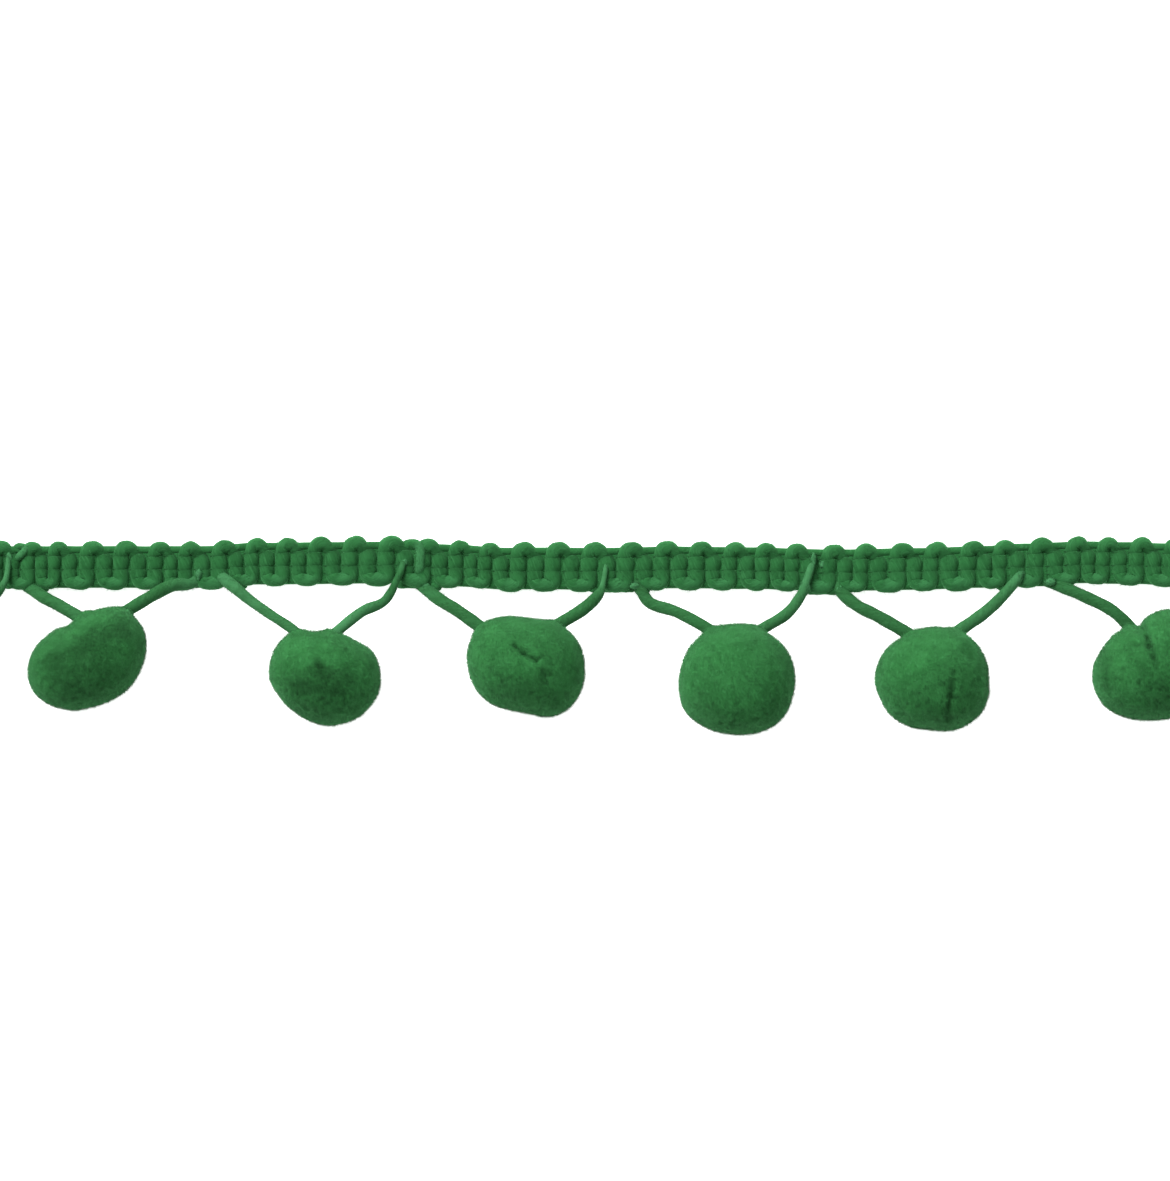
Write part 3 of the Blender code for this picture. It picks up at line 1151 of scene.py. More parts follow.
@dataclass(frozen=True)
class Relief:
    """One kind of unevenness in the pile.

    It tells how finely it repeats over the ball, how deep it is in millimetres and how much
    painted shade it gets; below zero, painted light.
    """

    pitch: float
    depth: float
    dark: float


# What keeps the relief of one pompom from being that of the next.
SEED_SHIFT = 3.1
PLACE_SHIFT = 0.7
# Clumps of pile with fine partings between them, broad swells, and small flecks. The partings
# stray, have a width and show in places only; the flecks are fewer on the lit side. The partings
# and flecks carry painted shade, and the swells painted light.
PARTINGS = Relief(pitch=4.4, depth=0.05, dark=0.25)
PARTING_STRAY = 0.35
PARTING_STRAY_PITCH = 6
PARTING_WIDTH = 0.34
PARTED_PITCH = 3.1
PARTED_TURN = 1.7
PARTED = (-0.05, 0.5)
SWELLS = Relief(pitch=5.5, depth=0.05, dark=-0.38)
FLECKS = Relief(pitch=11.0, depth=0.04, dark=0.50)
FLECKED = (0.18, 0.30)
FLECKS_LIT = 0.35


def rise(value: float, start: float, over: float) -> float:
    """Goes smoothly from 0 to 1 as the value rises from start by over."""
    return ease((value - start) / over)


@dataclass(frozen=True)
class Crease:
    """A crease, a dent or a flat patch of painted shade in the pile, in millimetres from the
    pompom's middle.

    It is a line seen from above, with how deep and wide it is and how much painted shade it gets,
    from 0 to 1. A negative dark is painted light.
    """

    start: tuple[float, float]
    end: tuple[float, float]
    depth: float
    width: float
    dark: float

    def at(self, point: Vector) -> float:
        """How much of the crease is felt at a point.

        Args:
            point: the point, in millimetres from the pompom's middle.

        Returns:
            A share from 0 to 1.
        """
        spot = Vector((point.x * CREASE_PITCH, point.y * CREASE_PITCH, CREASE_LEVEL))
        stray = noise.noise_vector(spot).xy * min(self.width, CREASE_STRAY_MOST)
        place = point.xy + stray * CREASE_STRAY
        first = Vector(self.start)
        run = Vector(self.end) - first
        share = 0.0
        if run.length_squared > 0:
            share = min(max((place - first).dot(run) / run.length_squared, 0.0), 1.0)
        apart = (place - first - run * share).length
        return math.exp(-((apart / self.width) ** 2))


@dataclass
class Pompom:
    """One dense ball of clipped pile.

    The waves are the folds round its outline, with their size and turn, and the bulges where it
    stands out or draws in. The pulls are the directions in which the leg cords draw it up.
    """

    shop: Workshop
    name: str
    x: float
    y: float
    radius: float
    waves: tuple[tuple[int, float, float], ...]
    bulges: tuple[tuple[float, float, float], ...]
    creases: tuple[Crease, ...]
    pulls: tuple[Vector, ...]
    seed: int
    cuts: int = 38

    @property
    def middle(self) -> Vector:
        """The pompom's middle, in millimetres."""
        return Vector((self.x, self.y, self.radius * SQUASH - FLAT_SPOT))

    def reach(self, direction: Vector) -> float:
        """The surface's distance from the middle, without its fine relief.

        Args:
            direction: the direction, of length 1.

        Returns:
            The distance, in millimetres.
        """
        around = math.atan2(direction.y, direction.x)
        level = max(1 - direction.z**2, 0.0)
        reach = self.radius * (1 - (1 - SQUASH) * direction.z**2)
        for count, size, turn in self.waves:
            reach += size * level ** (count / 2) * math.cos(count * (around - math.radians(turn)))
        for pull in self.pulls:
            reach += PULL_RISE * math.exp((direction.dot(pull) - 1) / PULL_WIDTH)
        for turn, size, spread in self.bulges:
            apart = (math.degrees(around) - turn + 180) % 360 - 180
            reach += size * level * math.exp(-((apart / spread) ** 2))
        return reach + LUMP_RISE * noise.noise(direction * LUMP_SCALE + Vector((self.x, 0, 0)))

    def relief(self, direction: Vector) -> tuple[float, float]:
        """The pile's fine relief.

        Args:
            direction: the direction from the middle, of length 1.

        Returns:
            How far the pile is sunk there, in millimetres, and its painted shade from 0 to 1.
        """
        offset = Vector((0, self.seed * SEED_SHIFT, self.x * PLACE_SHIFT))
        spot = direction * PARTINGS.pitch + offset
        spot += PARTING_STRAY * noise.noise_vector(direction * PARTING_STRAY_PITCH + offset)
        apart = noise.voronoi(spot)[0]
        edge = 1 - ease((apart[1] - apart[0]) / PARTING_WIDTH)
        shown = rise(noise.noise(direction * PARTED_PITCH + offset * PARTED_TURN), *PARTED)
        swell = noise.noise(direction * SWELLS.pitch - offset)
        fleck = rise(noise.noise(direction * FLECKS.pitch + offset), *FLECKED)
        # The flecks' painted shade gathers on the side away from the light.
        fleck *= FLECKS_LIT + (1 - FLECKS_LIT) * ease(0.5 - direction.y)
        sunk = PARTINGS.depth * edge * shown + SWELLS.depth * swell + FLECKS.depth * fleck
        # Painted shade in the partings and flecks, lessened by painted light on the swells.
        dark = PARTINGS.dark * edge * shown + SWELLS.dark * swell + FLECKS.dark * fleck
        return sunk, min(max(dark, 0.0), 1.0)

    def shell(self) -> bmesh.types.BMesh:
        """A cube of squares whose corners are spread evenly over a ball.

        Returns:
            The cube, each corner of which lies in its own direction from the middle.
        """
        shell = bmesh.new()
        line = [math.tan(math.radians(-45 + 90 * k / self.cuts)) for k in range(self.cuts + 1)]
        for axis in range(3):
            for sign in (1, -1):
                grid = []
                for u in line:
                    column = []
                    for v in line:
                        place = Vector((0, 0, 0))
                        place[axis] = sign
                        place[(axis + 1) % 3] = u
                        place[(axis + 2) % 3] = v
                        column.append(shell.verts.new(place))
                    grid.append(column)
                for left, right in zip(grid, grid[1:]):
                    for k in range(self.cuts):
                        face = (left[k], right[k], right[k + 1], left[k + 1])
                        shell.faces.new(face if sign > 0 else face[::-1])
        bmesh.ops.remove_doubles(shell, verts=shell.verts, dist=WELD)
        return shell

    def build(self) -> None:
        """Builds the ball with its creases, fine lumps and painted shade and light."""
        shell = self.shell()
        painted_shading_values = []
        for vert in shell.verts:
            direction = vert.co.normalized()
            reach = self.reach(direction)
            sunk, dark = self.relief(direction)
            # The creases add their painted shade, and painted light where it is below zero.
            if direction.z > CREASED_ABOVE:
                for crease in self.creases:
                    share = crease.at(direction * reach)
                    sunk += crease.depth * share
                    dark = min(1.0, dark + crease.dark * share)
            vert.co = (self.middle + direction * (reach - PILE_DEPTH - sunk)) * MM
            vert.co.z = max(vert.co.z, 0.0)
            # Painted shade, and below zero painted light, kept above PALEST.
            painted_shading_values.append(max(dark, PALEST))
        name = f"{self.name}_ball"
        mesh = bpy.data.meshes.new(name)
        shell.to_mesh(mesh)
        shell.free()
        # The pile's painted shade and light, stored for its material.
        mesh.attributes.new("painted_pile_shading", "FLOAT", "POINT").data.foreach_set("value", painted_shading_values)
        mesh.materials.append(self.shop.material(PILE))
        mesh.shade_smooth()
        ball = add_object(name, mesh)
        mount(ball, Slot.PILE, self.name)
        self.dress(ball)

    def dress(self, ball: bpy.types.Object) -> None:
        """Grows the clipped pile over the ball."""
        pile = PILE_NAP.grow(self.shop, ball, f"{self.name}_pile", PILE, self.seed)
        mount(pile, Slot.PILE)


POMPOM_COLUMNS = (
    "name", "x", "y", "radius", "long", "long_at", "three", "three_at", "four", "four_at",
)
POMPOMS = (
    ("pompom_0", -54.95, -9.25, 5.04, 0.25, 20, 0.10, 15, 0.06, 10),
    ("pompom_1", -39.06, -8.30, 4.93, 0.80, 30, 0.16, -56, 0.06, 40),
    ("pompom_2", -17.87, -9.80, 4.74, 0.48, -19, 0.11, 26, 0.02, -11),
    ("pompom_3", 0.32, -8.80, 5.06, 0.55, -17, 0.09, 52, 0.17, 44),
    ("pompom_4", 19.20, -10.13, 5.29, 0.11, 4, 0.08, -37, 0.07, 36),
    ("pompom_5", 36.90, -10.06, 5.06, 0.21, -1, 0.12, -52, 0.06, -37),
    ("pompom_6", 56.60, -9.12, 5.14, 0.20, 30, 0.15, -30, 0.06, 15),
)
# The folds of each wave round a pompom, and its columns.
WAVES = ((2, "long"), (3, "three"), (4, "four"))
FIRST_POMPOM_SEED = 20
# Where the balls stand out or draw in round their sides: degrees from x, by how much, and over
# how many degrees.
BULGES = {
    "pompom_1": ((120, -0.34, 15), (82, -0.18, 14), (155, -0.10, 18), (300, -0.08, 15)),
    "pompom_2": ((100, -0.20, 13), (160, -0.18, 18), (210, -0.12, 20), (28, 0.18, 14)),
    "pompom_3": ((45, -0.12, 14), (248, -0.10, 14), (330, -0.10, 12)),
    "pompom_4": ((55, -0.12, 22), (278, -0.12, 15), (150, 0.10, 12), (345, -0.1, 12)),
    "pompom_5": ((0, -0.12, 12), (170, 0.14, 18), (262, -0.10, 14), (75, -0.12, 10)),
    "pompom_6": (
        (183, 0.36, 34), (109, -1.00, 9), (126, -0.28, 12), (95, -0.18, 8),
        (72, 0.36, 13), (272, -0.20, 24),
    ),
}
# The pompoms' creases, dents and flat patches: start, end, depth, width and painted shade,
# which is painted light below zero.
CREASES = {
    "pompom_1": (
        ((-2.4, -0.8), (0.6, -0.4), 0.08, 1.9, 0.62),
        ((-2.6, -0.7), (-2.3, 0.2), 0.08, 0.6, 0.35),
        ((-2.8, -2.0), (-1.0, -1.6), 0.05, 0.8, 0.35),
        ((-1.2, 0.9), (-0.6, 0.5), 0.06, 0.6, 0.35),
        ((0.2, 1.8), (3.2, 2.9), 0.02, 1.2, 0.90),
        ((-1.8, -2.9), (1.0, -3.1), 0.02, 0.8, 0.45),
        ((-3.8, -0.2), (-2.4, 1.5), 0.02, 0.9, 0.50),
        ((3.9, 1.1), (3.8, 0.3), 0.00, 0.9, -0.45),
    ),
    "pompom_2": (
        ((-0.75, 1.75), (-0.20, 0.90), 0.12, 0.32, 0.45),
        ((-0.20, 0.90), (0.47, -0.40), 0.26, 0.36, 0.85),
        ((-1.90, -1.10), (1.00, -1.55), 0.24, 1.15, 0.88),
        ((-3.50, 0.20), (-0.90, 0.40), 0.00, 0.8, 0.35),
        ((0.00, 0.50), (2.40, -0.30), 0.04, 0.8, 0.60),
        ((0.40, 0.50), (0.60, -0.80), 0.04, 0.5, 0.50),
        ((-3.40, -0.80), (-2.00, -1.40), 0.02, 0.7, 0.25),
        ((-2.40, -2.90), (0.00, -3.40), 0.02, 0.9, 0.55),
        ((2.00, 2.60), (3.20, 2.20), 0.00, 0.8, 0.25),
        ((4.20, 0.90), (4.30, -0.30), 0.00, 0.9, -0.45),
    ),
    "pompom_3": (
        ((-1.24, 1.95), (-0.20, 1.15), 0.34, 0.17, 0.80),
        ((-0.20, 1.15), (0.98, 0.47), 0.34, 0.17, 0.80),
        ((0.98, 0.47), (1.40, 0.80), 0.16, 0.17, 0.35),
        ((1.64, -0.70), (1.64, -1.50), 0.08, 0.46, 0.75),
        ((1.70, 1.10), (2.30, 0.50), 0.02, 0.6, 0.30),
        ((-1.80, -2.00), (0.20, -2.40), 0.02, 0.9, 0.45),
        ((1.60, -2.00), (2.00, -2.60), 0.00, 0.7, 0.35),
        ((-1.00, 2.60), (0.60, 2.30), 0.00, 0.8, 0.30),
        ((-3.00, 0.80), (-2.20, 0.50), 0.00, 0.8, 0.30),
        ((3.60, 0.60), (3.60, -1.60), 0.00, 1.2, -0.42),
    ),
    "pompom_4": (
        ((-2.8, 1.8), (-1.9, 1.0), 0.06, 0.30, 0.25),
        ((-2.8, 0.2), (-2.3, 0.1), 0.02, 0.8, 0.25),
        ((4.3, 0.9), (4.3, -0.7), 0.00, 1.1, -0.50),
        ((-1.2, -2.1), (1.7, -1.5), 0.00, 0.8, -0.42),
        ((-3.4, -1.4), (-2.8, -1.9), 0.00, 0.8, 0.28),
        ((-4.4, 0.6), (-4.3, -0.2), 0.00, 0.6, -0.25),
    ),
    "pompom_5": (
        ((1.67, 0.65), (1.67, 0.60), 0.16, 0.26, 0.50),
        ((0.70, -0.35), (1.50, -0.70), 0.08, 0.40, 0.50),
        ((1.55, -0.10), (1.50, -1.60), 0.14, 0.34, 0.60),
        ((1.50, -1.60), (1.15, -2.60), 0.16, 0.30, 0.55),
        ((1.15, -2.60), (1.30, -3.80), 0.18, 0.38, 0.60),
        ((2.90, 2.50), (3.20, 2.10), 0.14, 0.40, 0.40),
        ((-0.90, 0.60), (0.90, 1.00), 0.02, 0.9, 0.30),
        ((-2.50, -0.90), (-0.80, -2.90), 0.02, 0.9, 0.25),
        ((0.30, -3.60), (1.80, -3.70), 0.00, 0.7, 0.35),
        ((-2.40, 1.30), (-1.80, 1.20), 0.00, 0.9, -0.25),
        ((3.60, 2.70), (4.20, -0.20), 0.00, 1.0, -0.45),
    ),
    "pompom_6": (
        ((-1.05, 3.90), (-0.80, 3.10), 0.24, 0.24, 0.55),
        ((-0.80, 3.10), (-0.62, 2.30), 0.22, 0.24, 0.65),
        ((-0.62, 2.30), (-0.22, 1.15), 0.18, 0.24, 0.60),
        ((-0.22, 1.15), (0.08, 0.10), 0.16, 0.24, 0.55),
        ((-1.90, 2.35), (-0.75, 2.35), 0.12, 0.24, 0.50),
        ((-0.62, 2.70), (-0.50, 2.40), 0.10, 0.42, 0.65),
        ((0.10, -1.30), (0.80, -1.90), 0.02, 0.5, 0.45),
        ((-4.80, 1.60), (-4.60, -1.60), 0.00, 0.6, 0.60),
        ((-1.60, 1.20), (-1.00, -1.20), 0.00, 1.4, 0.28),
        ((0.20, -3.20), (3.60, -2.20), 0.00, 1.1, 0.20),
    ),
}


def pulled_by_legs(entry: Mapping[str, float | str]) -> tuple[Vector, ...]:
    """The directions in which the leg cords draw a pompom's pile up.

    Args:
        entry: the pompom's row.

    Returns:
        One direction for each of its cords.
    """
    middle = Vector((entry["x"], entry["y"], entry["radius"] * SQUASH - FLAT_SPOT))
    tips = (row[LEG_COLUMNS.index("tip")] for row in LEGS if row[0] == entry["name"])
    return tuple((Vector((*tip, LEG_TIP)) - middle).normalized() for tip in tips)


def make_pompoms(shop: Workshop) -> dict[str, Pompom]:
    """Sets out the seven pompoms.

    Args:
        shop: the shared groups and materials.

    Returns:
        The pompoms by name, ready to be built.
    """
    made = {}
    for seed, row in enumerate(POMPOMS, start=FIRST_POMPOM_SEED):
        entry = dict(zip(POMPOM_COLUMNS, row))
        name = entry["name"]
        made[name] = Pompom(
            shop,
            name,
            entry["x"],
            entry["y"],
            entry["radius"],
            waves=tuple((folds, entry[size], entry[f"{size}_at"]) for folds, size in WAVES),
            bulges=BULGES.get(name, ()),
            creases=tuple(Crease(*crease) for crease in CREASES.get(name, ())),
            pulls=pulled_by_legs(entry),
            seed=seed,
        )
    return made


# ---------------------------------------------------------------------------
# Leg cords
# ---------------------------------------------------------------------------

LEG_YARN = YarnFinish(
    name="leg_cord_soft",
    dye=Dye(
        dark=(0.017, 0.087, 0.025, 1.0),
        middle=(0.021, 0.105, 0.032, 1.0),
        light=(0.030, 0.127, 0.042, 1.0),
    ),
    scale=1500.0,
    fine_scale=6500.0,
    # Painted shade low down on the cords.
    deep=0.6,
    groove_low=0.2,
    groove_high=1.2,
)
LEG_SPIN = Spin(sides=14, plies=2.0, ply_depth=0.022, turns=230.0)
LEG_NAP = Nap(per_square_mm=16.0, length=0.26, thickness=0.024, lean=1.1, uneven=0.5, lowest=0.5)


class Lies(Enum):
    """How a leg cord leaves the braid."""

    OVER = "over the face"
    OUT = "out from between the yarns"


@dataclass(frozen=True)
class Course:
    """What follows from how a leg cord lies.

    It tells the height of its root in millimetres, the step at which it starts to grow to its
    full thickness, how many steps that takes, and the step at which its painted light and shade
    start.
    """

    root: float
    grows: int
    growing: int
    painted_light_from: int


COURSES = {Lies.OVER: Course(1.35, 14, 20, 22), Lies.OUT: Course(0.60, 0, 9, 13)}
# The height of the tips, and how the rise to it is put off.
LEG_TIP = 4.05
LEG_RISE = 1.3
# A cord that lies over the face is lifted over the edge, and its end is tucked back down.
LEG_CREST = 0.25
LEG_TUCK = 0.4
LEG_TUCK_DOWN = 0.85
# The last point lies this far towards the pompom's middle, and the cord ends this deep in it.
LEG_INTO = 0.35
LEG_SUNK = 1.15
LEG_STEPS = 9
LEG_FLAT = 0.95
LEG_UNEVEN = 0.05
LEG_PITCH = 0.8
# How frayed the cords are near the braid: how much at most, the level that it varies round, by
# how much and how quickly, and the share that it starts with over the first steps.
LEG_FRAY = 0.45
FRAY_LEVEL = 0.75
FRAY_SPREAD = 0.5
FRAY_PITCH = 1.9
FRAY_START = 0.4
FRAY_STEPS = 15
# Each cord: its pompom, how it lies, its thickness, the share of it that it starts with, its
# tones, and its places from the braid to the pile. The tones are painted light, and below zero
# painted shade, near the braid, halfway and near the pompom.
LEG_POINTS = ("root", "edge", "bend", "fall", "tip")
LEG_COLUMNS = ("pompom", "lies", "thick", "starts", "tones", *LEG_POINTS)
LEGS = (
    ("pompom_0", Lies.OUT, 1.14, 0.90, (0, 0, 0),
     (-63.6, -0.6), (-63.1, -1.4), (-61.5, -2.7), (-59.7, -3.8), (-57.3, -5.6)),
    ("pompom_0", Lies.OVER, 1.14, 0.42, (0, 0, 0),
     (-46.4, 0.9), (-46.6, -1.0), (-47.5, -2.4), (-49.2, -3.9), (-52.0, -5.8)),
    ("pompom_1", Lies.OUT, 1.12, 1.05, (0.04, 0, 0.09),
     (-44.9, -1.5), (-44.1, -2.1), (-43.0, -2.8), (-41.6, -3.5), (-39.4, -4.9)),
    ("pompom_1", Lies.OUT, 1.14, 0.90, (0.24, 0, -0.05),
     (-28.9, -0.95), (-30.2, -1.45), (-31.7, -1.65), (-33.5, -2.6), (-36.3, -4.4)),
    ("pompom_2", Lies.OVER, 0.92, 1.20, (0.04, 0.26, 0.12),
     (-27.1, -0.95), (-26.0, -1.8), (-24.8, -2.8), (-23.1, -4.0), (-20.3, -5.9)),
    ("pompom_2", Lies.OVER, 0.98, 0.60, (-0.27, 0.15, 0.42),
     (-10.8, 0.5), (-11.3, -0.9), (-12.5, -3.0), (-14.7, -4.1), (-17.6, -6.6)),
    ("pompom_3", Lies.OUT, 1.14, 1.05, (0.08, -0.03, -0.08),
     (-9.4, -1.35), (-8.6, -2.1), (-7.4, -3.0), (-5.9, -3.9), (-3.4, -5.7)),
    ("pompom_3", Lies.OVER, 1.14, 0.40, (0, -0.03, 0),
     (7.45, 0.3), (7.15, -1.5), (6.7, -2.5), (5.3, -3.8), (2.6, -5.5)),
    ("pompom_4", Lies.OUT, 1.06, 1.00, (-0.22, 0.07, -0.03),
     (9.9, -1.3), (10.6, -2.1), (11.5, -3.25), (14.0, -4.1), (17.1, -5.9)),
    ("pompom_4", Lies.OVER, 1.04, 0.66, (0.05, 0.14, 0.09),
     (25.95, 0.15), (25.42, -1.4), (24.8, -2.8), (23.5, -4.3), (20.8, -6.0)),
    ("pompom_5", Lies.OUT, 1.14, 1.00, (-0.10, -0.10, -0.18),
     (28.2, -1.45), (28.8, -2.4), (30.15, -3.5), (32.1, -4.5), (35.0, -6.3)),
    ("pompom_5", Lies.OVER, 1.14, 0.80, (0, 0.16, 0.13),
     (44.7, -0.75), (44.0, -1.6), (42.8, -2.9), (41.3, -4.2), (38.4, -6.3)),
    ("pompom_6", Lies.OUT, 1.10, 0.90, (-0.07, -0.10, -0.27),
     (47.0, -1.2), (48.3, -1.65), (50.4, -2.55), (53.1, -3.98), (55.3, -6.3)),
    ("pompom_6", Lies.OVER, 1.10, 0.50, (0, 0, 0),
     (63.5, -0.2), (63.1, -1.6), (62.1, -2.9), (60.5, -3.9), (57.8, -5.7)),
)


@dataclass
class Legs:
    """The cords that carry the pompoms."""

    shop: Workshop
    pompoms: Mapping[str, Pompom]
    seed: int = 5

    def route(self, leg: Mapping[str, object]) -> list[Vector]:
        """The way of one cord, from inside the braid into the pompom's pile.

        Args:
            leg: the cord's row.

        Returns:
            The points of its middle line, in millimetres.
        """
        root = COURSES[leg["lies"]].root
        points = []
        for k, name in enumerate(LEG_POINTS):
            share = (k / (len(LEG_POINTS) - 1)) ** LEG_RISE
            points.append(Vector((*leg[name], root + (LEG_TIP - root) * share)))
        if leg["lies"] is Lies.OVER:
            points[1].z += LEG_CREST
            up = (points[0] - points[1]).normalized()
            tuck = Vector((up.x * LEG_TUCK, up.y * LEG_TUCK, -LEG_TUCK_DOWN))
            points.insert(0, points[0] + tuck)
        pompom = self.pompoms[leg["pompom"]]
        points.append(points[-1].lerp(pompom.middle, LEG_INTO))
        kept = []
        for place in smooth_route(points, LEG_STEPS):
            kept.append(place)
            away = place - pompom.middle
            if away.length < pompom.reach(away.normalized()) - LEG_SUNK:
                break
        return kept

    def strand(self, row: tuple) -> Strand:
        """One cord with its thickness, its fray and its painted light and shade.

        Args:
            row: its row of the table.

        Returns:
            The cord.
        """
        leg = dict(zip(LEG_COLUMNS, row))
        course = COURSES[leg["lies"]]
        route = self.route(leg)
        thick = []
        fray_and_painted_shading = []
        for k, place in enumerate(route):
            grown = rise(k, course.grows, course.growing)
            slim = leg["starts"] + (1 - leg["starts"]) * grown
            uneven = 1 + LEG_UNEVEN * noise.noise(place * LEG_PITCH)
            thick.append(leg["thick"] / 2 * slim * uneven)
            lift = FRAY_LEVEL + FRAY_SPREAD * noise.noise(place * FRAY_PITCH)
            lift *= FRAY_START + (1 - FRAY_START) * ease(k / FRAY_STEPS)
            # The cord's painted light and shade along its length; below zero it is painted shade.
            along = min(max((k - course.painted_light_from) / LEG_STEPS, 0.0), 2.0)
            part = min(int(along), 1)
            first, second = leg["tones"][part : part + 2]
            tone = first + (second - first) * (along - part)
            fray_and_painted_shading.append(LEG_FRAY * (1 - grown) * lift + tone)
        return Strand(route, thick, [LEG_FLAT] * len(route), fray_and_painted_shading)

    def build(self) -> None:
        """Builds all the cords as one piece."""
        strands = [self.strand(row) for row in LEGS]
        cords = LEG_SPIN.sweep(self.shop, "leg_cords", strands, LEG_YARN)
        mount(cords, Slot.BRAID)
        self.dress(cords)

    def dress(self, cords: bpy.types.Object) -> None:
        """Grows the cords' velvety fuzz."""
        fuzz = LEG_NAP.grow(self.shop, cords, "leg_fuzz", LEG_YARN, self.seed)
        mount(fuzz, Slot.BRAID)


# ---------------------------------------------------------------------------
# Joins
# ---------------------------------------------------------------------------

FRAYED_YARN = YarnFinish(
    name="frayed_ends_soft",
    dye=Dye(
        dark=(0.034, 0.150, 0.052, 1.0),
        middle=(0.052, 0.196, 0.079, 1.0),
        light=(0.085, 0.262, 0.120, 1.0),
    ),
    scale=1500.0,
    fine_scale=6500.0,
    haze=0.2,
    # Painted shade low down on the frayed spots.
    deep=0.7,
)
JOIN_SPIN = Spin(sides=14, plies=2.0, ply_depth=0.03, turns=230.0)
CORD_NAP = Nap(per_square_mm=22.0, length=0.34, thickness=0.024, lean=1.1, uneven=0.5, lowest=1.00)
TUFT_NAP = Nap(per_square_mm=110.0, length=0.30, thickness=0.022, lean=1.3, uneven=0.6, lowest=0.6)
# Loose turns of cord at two of the joins: the join, the radius, and the way as steps from it.
LOOSE_TURNS = (
    (1, 0.31, (
        (-0.40, 1.66, 0.80), (0.05, 1.92, 1.10), (0.62, 1.80, 1.40), (0.50, 1.45, 1.55),
        (0.15, 1.10, 1.50), (-0.10, 0.85, 1.20), (-0.20, 0.70, 0.80),
    )),
    (3, 0.40, (
        (-0.50, 1.66, 0.80), (0.12, 1.92, 1.10), (0.72, 1.75, 1.36), (0.95, 1.25, 1.48),
        (0.92, 0.40, 1.50), (0.86, -0.35, 1.40), (0.80, -0.95, 0.90),
    )),
)
LOOSE_STEPS = 6
LOOSE_FLAT = 0.9
LOOSE_PITCH = 1.7
# A loose turn is frayed above this height: where that starts, over how much it comes, and how
# frayed it then is.
LOOSE_FRAYED = (1.15, 0.3)
LOOSE_FRAY = 0.3
CORD_UNEVEN = 0.12
# The cord behind the lower edge, which links the two legs of each join: its two ends along the
# trim and its place across it.
LINK_THICK = 0.46
LINK_HEIGHT = 0.80
LINKS = (
    (-64.5, -63.0, -1.45),
    (-46.6, -44.9, -1.45),
    (-29.6, -27.3, -1.38),
    (-11.2, -9.3, -1.43),
    (7.3, 9.8, -1.78),
    (25.8, 28.4, -2.00),
    (44.6, 46.9, -1.22),
    (63.0, 64.6, -1.40),
)
# The yarn drawn down into the corner between a leg and the next loop: its two ends.
CORNER_THICK = 0.32
CORNER_HEIGHT = 0.95
CORNERS = (
    (-43.6, -1.70, -43.1, -1.90),
    (-25.8, -1.40, -25.2, -1.62),
    (-8.3, -1.55, -7.7, -1.80),
    (5.9, -1.80, 6.5, -2.05),
    (10.6, -1.80, 11.1, -2.05),
    (28.1, -1.95, 28.7, -2.10),
    (42.7, -1.55, 43.2, -1.90),
)
# Links and corners are cut into these steps, and their ends are sunk by this.
SHORT_STEPS = 8
SHORT_SINK = 0.35
SHORT_PITCH = 2.3
SHORT_FLAT = 0.95
# Frayed spots where a cord goes in or comes out: place, radius and how far they are drawn out
# across the trim.
TUFTS = (
    (-46.35, 0.90, 1.45, 0.24, 1.8),
    (-44.40, -1.75, 1.25, 0.28, 1.0),
    (-29.25, -0.62, 1.58, 0.26, 2.0),
    (-27.30, -0.75, 1.50, 0.26, 1.0),
    (-10.70, 0.50, 1.50, 0.28, 1.2),
    (-9.30, 1.72, 1.60, 0.28, 0.9),
    (-8.75, -1.65, 1.32, 0.32, 0.8),
    (10.00, -1.65, 1.40, 0.42, 0.7),
    (26.15, 0.80, 1.44, 0.26, 1.9),
    (26.95, 0.30, 1.34, 0.28, 1.2),
    (25.30, -1.90, 2.20, 0.46, 1.3),
    (28.55, -2.00, 1.24, 0.40, 0.9),
    (44.75, -0.65, 1.66, 0.28, 1.0),
    (47.50, -1.30, 1.60, 0.44, 0.7),
)
TUFT_FLAT = 0.6
TUFT_LUMPS = 0.4
TUFT_PITCH = 4


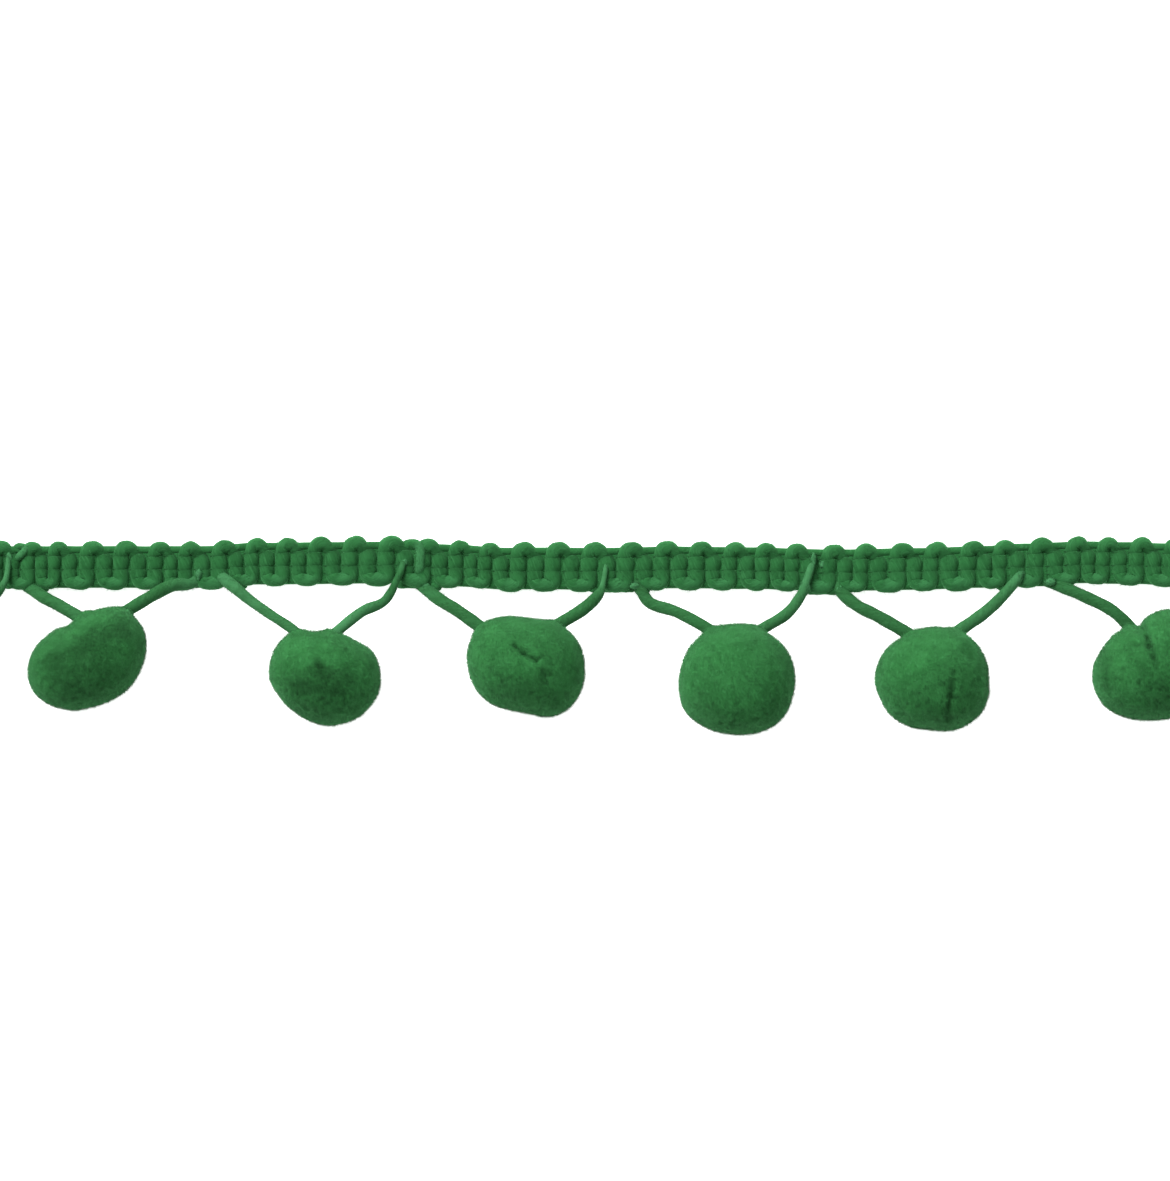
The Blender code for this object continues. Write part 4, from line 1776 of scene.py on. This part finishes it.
@dataclass
class Joins:
    """The loose turns and frayed spots where the leg cords meet the braid."""

    shop: Workshop
    seed: int = 41

    def turn(self, join: int, radius: float, way: Sequence[tuple[float, float, float]]) -> Strand:
        """One loose turn of cord.

        Args:
            join: the number of its join.
            radius: its radius.
            way: its points, their x measured from the join.

        Returns:
            The cord.
        """
        points = []
        for step, y, z in way:
            x = JOINS[join] + step
            points.append(Vector((x, y + drift_at(x), z)))
        route = smooth_route(points, LOOSE_STEPS)
        thick = [radius * (1 + CORD_UNEVEN * noise.noise(place * LOOSE_PITCH)) for place in route]
        fray_and_painted_shading = [LOOSE_FRAY * rise(place.z, *LOOSE_FRAYED) for place in route]
        return Strand(route, thick, [LOOSE_FLAT] * len(route), fray_and_painted_shading)

    def straight(self, start: Vector, end: Vector, radius: float) -> Strand:
        """A short straight cord, a little uneven and sunk at both ends.

        Args:
            start: one end.
            end: the other end.
            radius: its radius.

        Returns:
            The cord.
        """
        route = []
        thick = []
        for step in range(SHORT_STEPS + 1):
            share = step / SHORT_STEPS
            place = start.lerp(end, share)
            place.z -= SHORT_SINK * (2 * share - 1) ** 4
            route.append(place)
            thick.append(radius * (1 + CORD_UNEVEN * noise.noise(place * SHORT_PITCH)))
        return Strand(route, thick, [SHORT_FLAT] * len(route))

    def lumps(self) -> bpy.types.Object:
        """Builds the small soft lumps of the frayed spots.

        Returns:
            The lumps as one object.
        """
        shell = bmesh.new()
        for x, y, z, radius, drawn in TUFTS:
            spot = Vector((x, y, z))
            made = bmesh.ops.create_icosphere(shell, subdivisions=3, radius=radius)
            for vert in made["verts"]:
                bulge = 1 + TUFT_LUMPS * noise.noise(vert.co * TUFT_PITCH + spot)
                vert.co.y *= drawn
                vert.co.z *= TUFT_FLAT
                vert.co = (vert.co * bulge + spot) * MM
        mesh = bpy.data.meshes.new("join_lumps")
        shell.to_mesh(mesh)
        shell.free()
        mesh.materials.append(self.shop.material(FRAYED_YARN))
        mesh.shade_smooth()
        return add_object("join_lumps", mesh)

    def build(self) -> None:
        """Builds the loose turns, the links, the corners and the frayed spots."""
        strands = [self.turn(*row) for row in LOOSE_TURNS]
        for x_1, x_2, y in LINKS:
            ends = (Vector((x, y, LINK_HEIGHT)) for x in (x_1, x_2))
            strands.append(self.straight(*ends, LINK_THICK))
        for x_1, y_1, x_2, y_2 in CORNERS:
            ends = (Vector((*end, CORNER_HEIGHT)) for end in ((x_1, y_1), (x_2, y_2)))
            strands.append(self.straight(*ends, CORNER_THICK))
        cords = JOIN_SPIN.sweep(self.shop, "join_cords", strands, BRAID_YARN)
        mount(cords, Slot.BRAID)
        lumps = self.lumps()
        mount(lumps, Slot.BRAID)
        self.dress(cords, lumps)

    def dress(self, cords: bpy.types.Object, lumps: bpy.types.Object) -> None:
        """Grows the fuzz of the cords and of the frayed spots.

        Args:
            cords: the loose turns, links and corners.
            lumps: the frayed spots.
        """
        fuzz = CORD_NAP.grow(self.shop, cords, "join_cord_fuzz", BRAID_YARN, self.seed)
        mount(fuzz, Slot.BRAID)
        fuzz = TUFT_NAP.grow(self.shop, lumps, "join_lump_fuzz", FRAYED_YARN, self.seed)
        mount(fuzz, Slot.BRAID)


# ---------------------------------------------------------------------------
# Studio
# ---------------------------------------------------------------------------


@dataclass
class Studio:
    """The table, the light and the camera.

    The camera's centre and the level that it is set up for are millimetres, and the table's
    side and drop are metres.
    """

    image: tuple[int, int] = (1170, 1181)
    mm_per_pixel: float = 0.09
    centre: tuple[float, float] = (5.535, -2.07)
    level: float = 2.5
    lens: float = 300.0
    sensor: float = 36.0
    clip: tuple[float, float] = (0.01, 20.0)
    table_side: float = 12.0
    table_drop: float = 2e-5
    around: float = 0.5
    key_power: float = 5.2
    key_angle: float = 35.0
    key_towards: tuple[float, float, float] = (0.68, -0.86, -1.05)

    def build(self) -> None:
        """Sets up everything that isn't the trim."""
        self.floor()
        self.light()
        self.camera()

    def floor(self) -> None:
        """Lays the plain table top."""
        mesh = bpy.data.meshes.new("table_top")
        half = self.table_side / 2
        corners = ((-half, -half), (half, -half), (half, half), (-half, half))
        mesh.from_pydata([(*corner, -self.table_drop) for corner in corners], [], [(0, 1, 2, 3)])
        mesh.materials.append(FloorFinish().make())
        add_object("table_top", mesh)

    def light(self) -> None:
        """Makes the soft light from the upper left and the even light around."""
        world = bpy.data.worlds.new("studio")
        world.use_nodes = True
        background = world.node_tree.nodes["Background"]
        background.inputs["Color"].default_value = (1.0, 1.0, 1.0, 1.0)
        background.inputs["Strength"].default_value = self.around
        bpy.context.scene.world = world
        lamp = bpy.data.lights.new("key", "SUN")
        lamp.energy = self.key_power
        lamp.angle = math.radians(self.key_angle)
        key = add_object("key", lamp)
        key.rotation_mode = "QUATERNION"
        key.rotation_quaternion = Vector(self.key_towards).to_track_quat("-Z", "Y")

    def camera(self) -> None:
        """Places the camera straight above the trim."""
        data = bpy.data.cameras.new("camera")
        data.lens = self.lens
        data.sensor_width = self.sensor
        data.sensor_fit = "AUTO"
        data.clip_start, data.clip_end = self.clip
        away = max(self.image) * self.mm_per_pixel * self.lens / self.sensor
        camera = add_object("camera", data)
        camera.location = Vector((*self.centre, self.level + away)) * MM
        camera.matrix_world = Matrix.Translation(camera.location)
        bpy.context.scene.camera = camera
        bpy.context.scene.view_settings.view_transform = "Standard"


def main() -> None:
    """Builds the trim piece by piece, then the studio round it."""
    logging.basicConfig(level=logging.INFO, format="%(name)s: %(message)s", force=True)
    noise.seed_set(NOISE_SEED)
    shop = Workshop()
    Braid(shop).build()
    pompoms = make_pompoms(shop)
    for pompom in pompoms.values():
        pompom.build()
    Legs(shop, pompoms).build()
    Joins(shop).build()
    Studio().build()


if __name__ == "__main__":
    main()
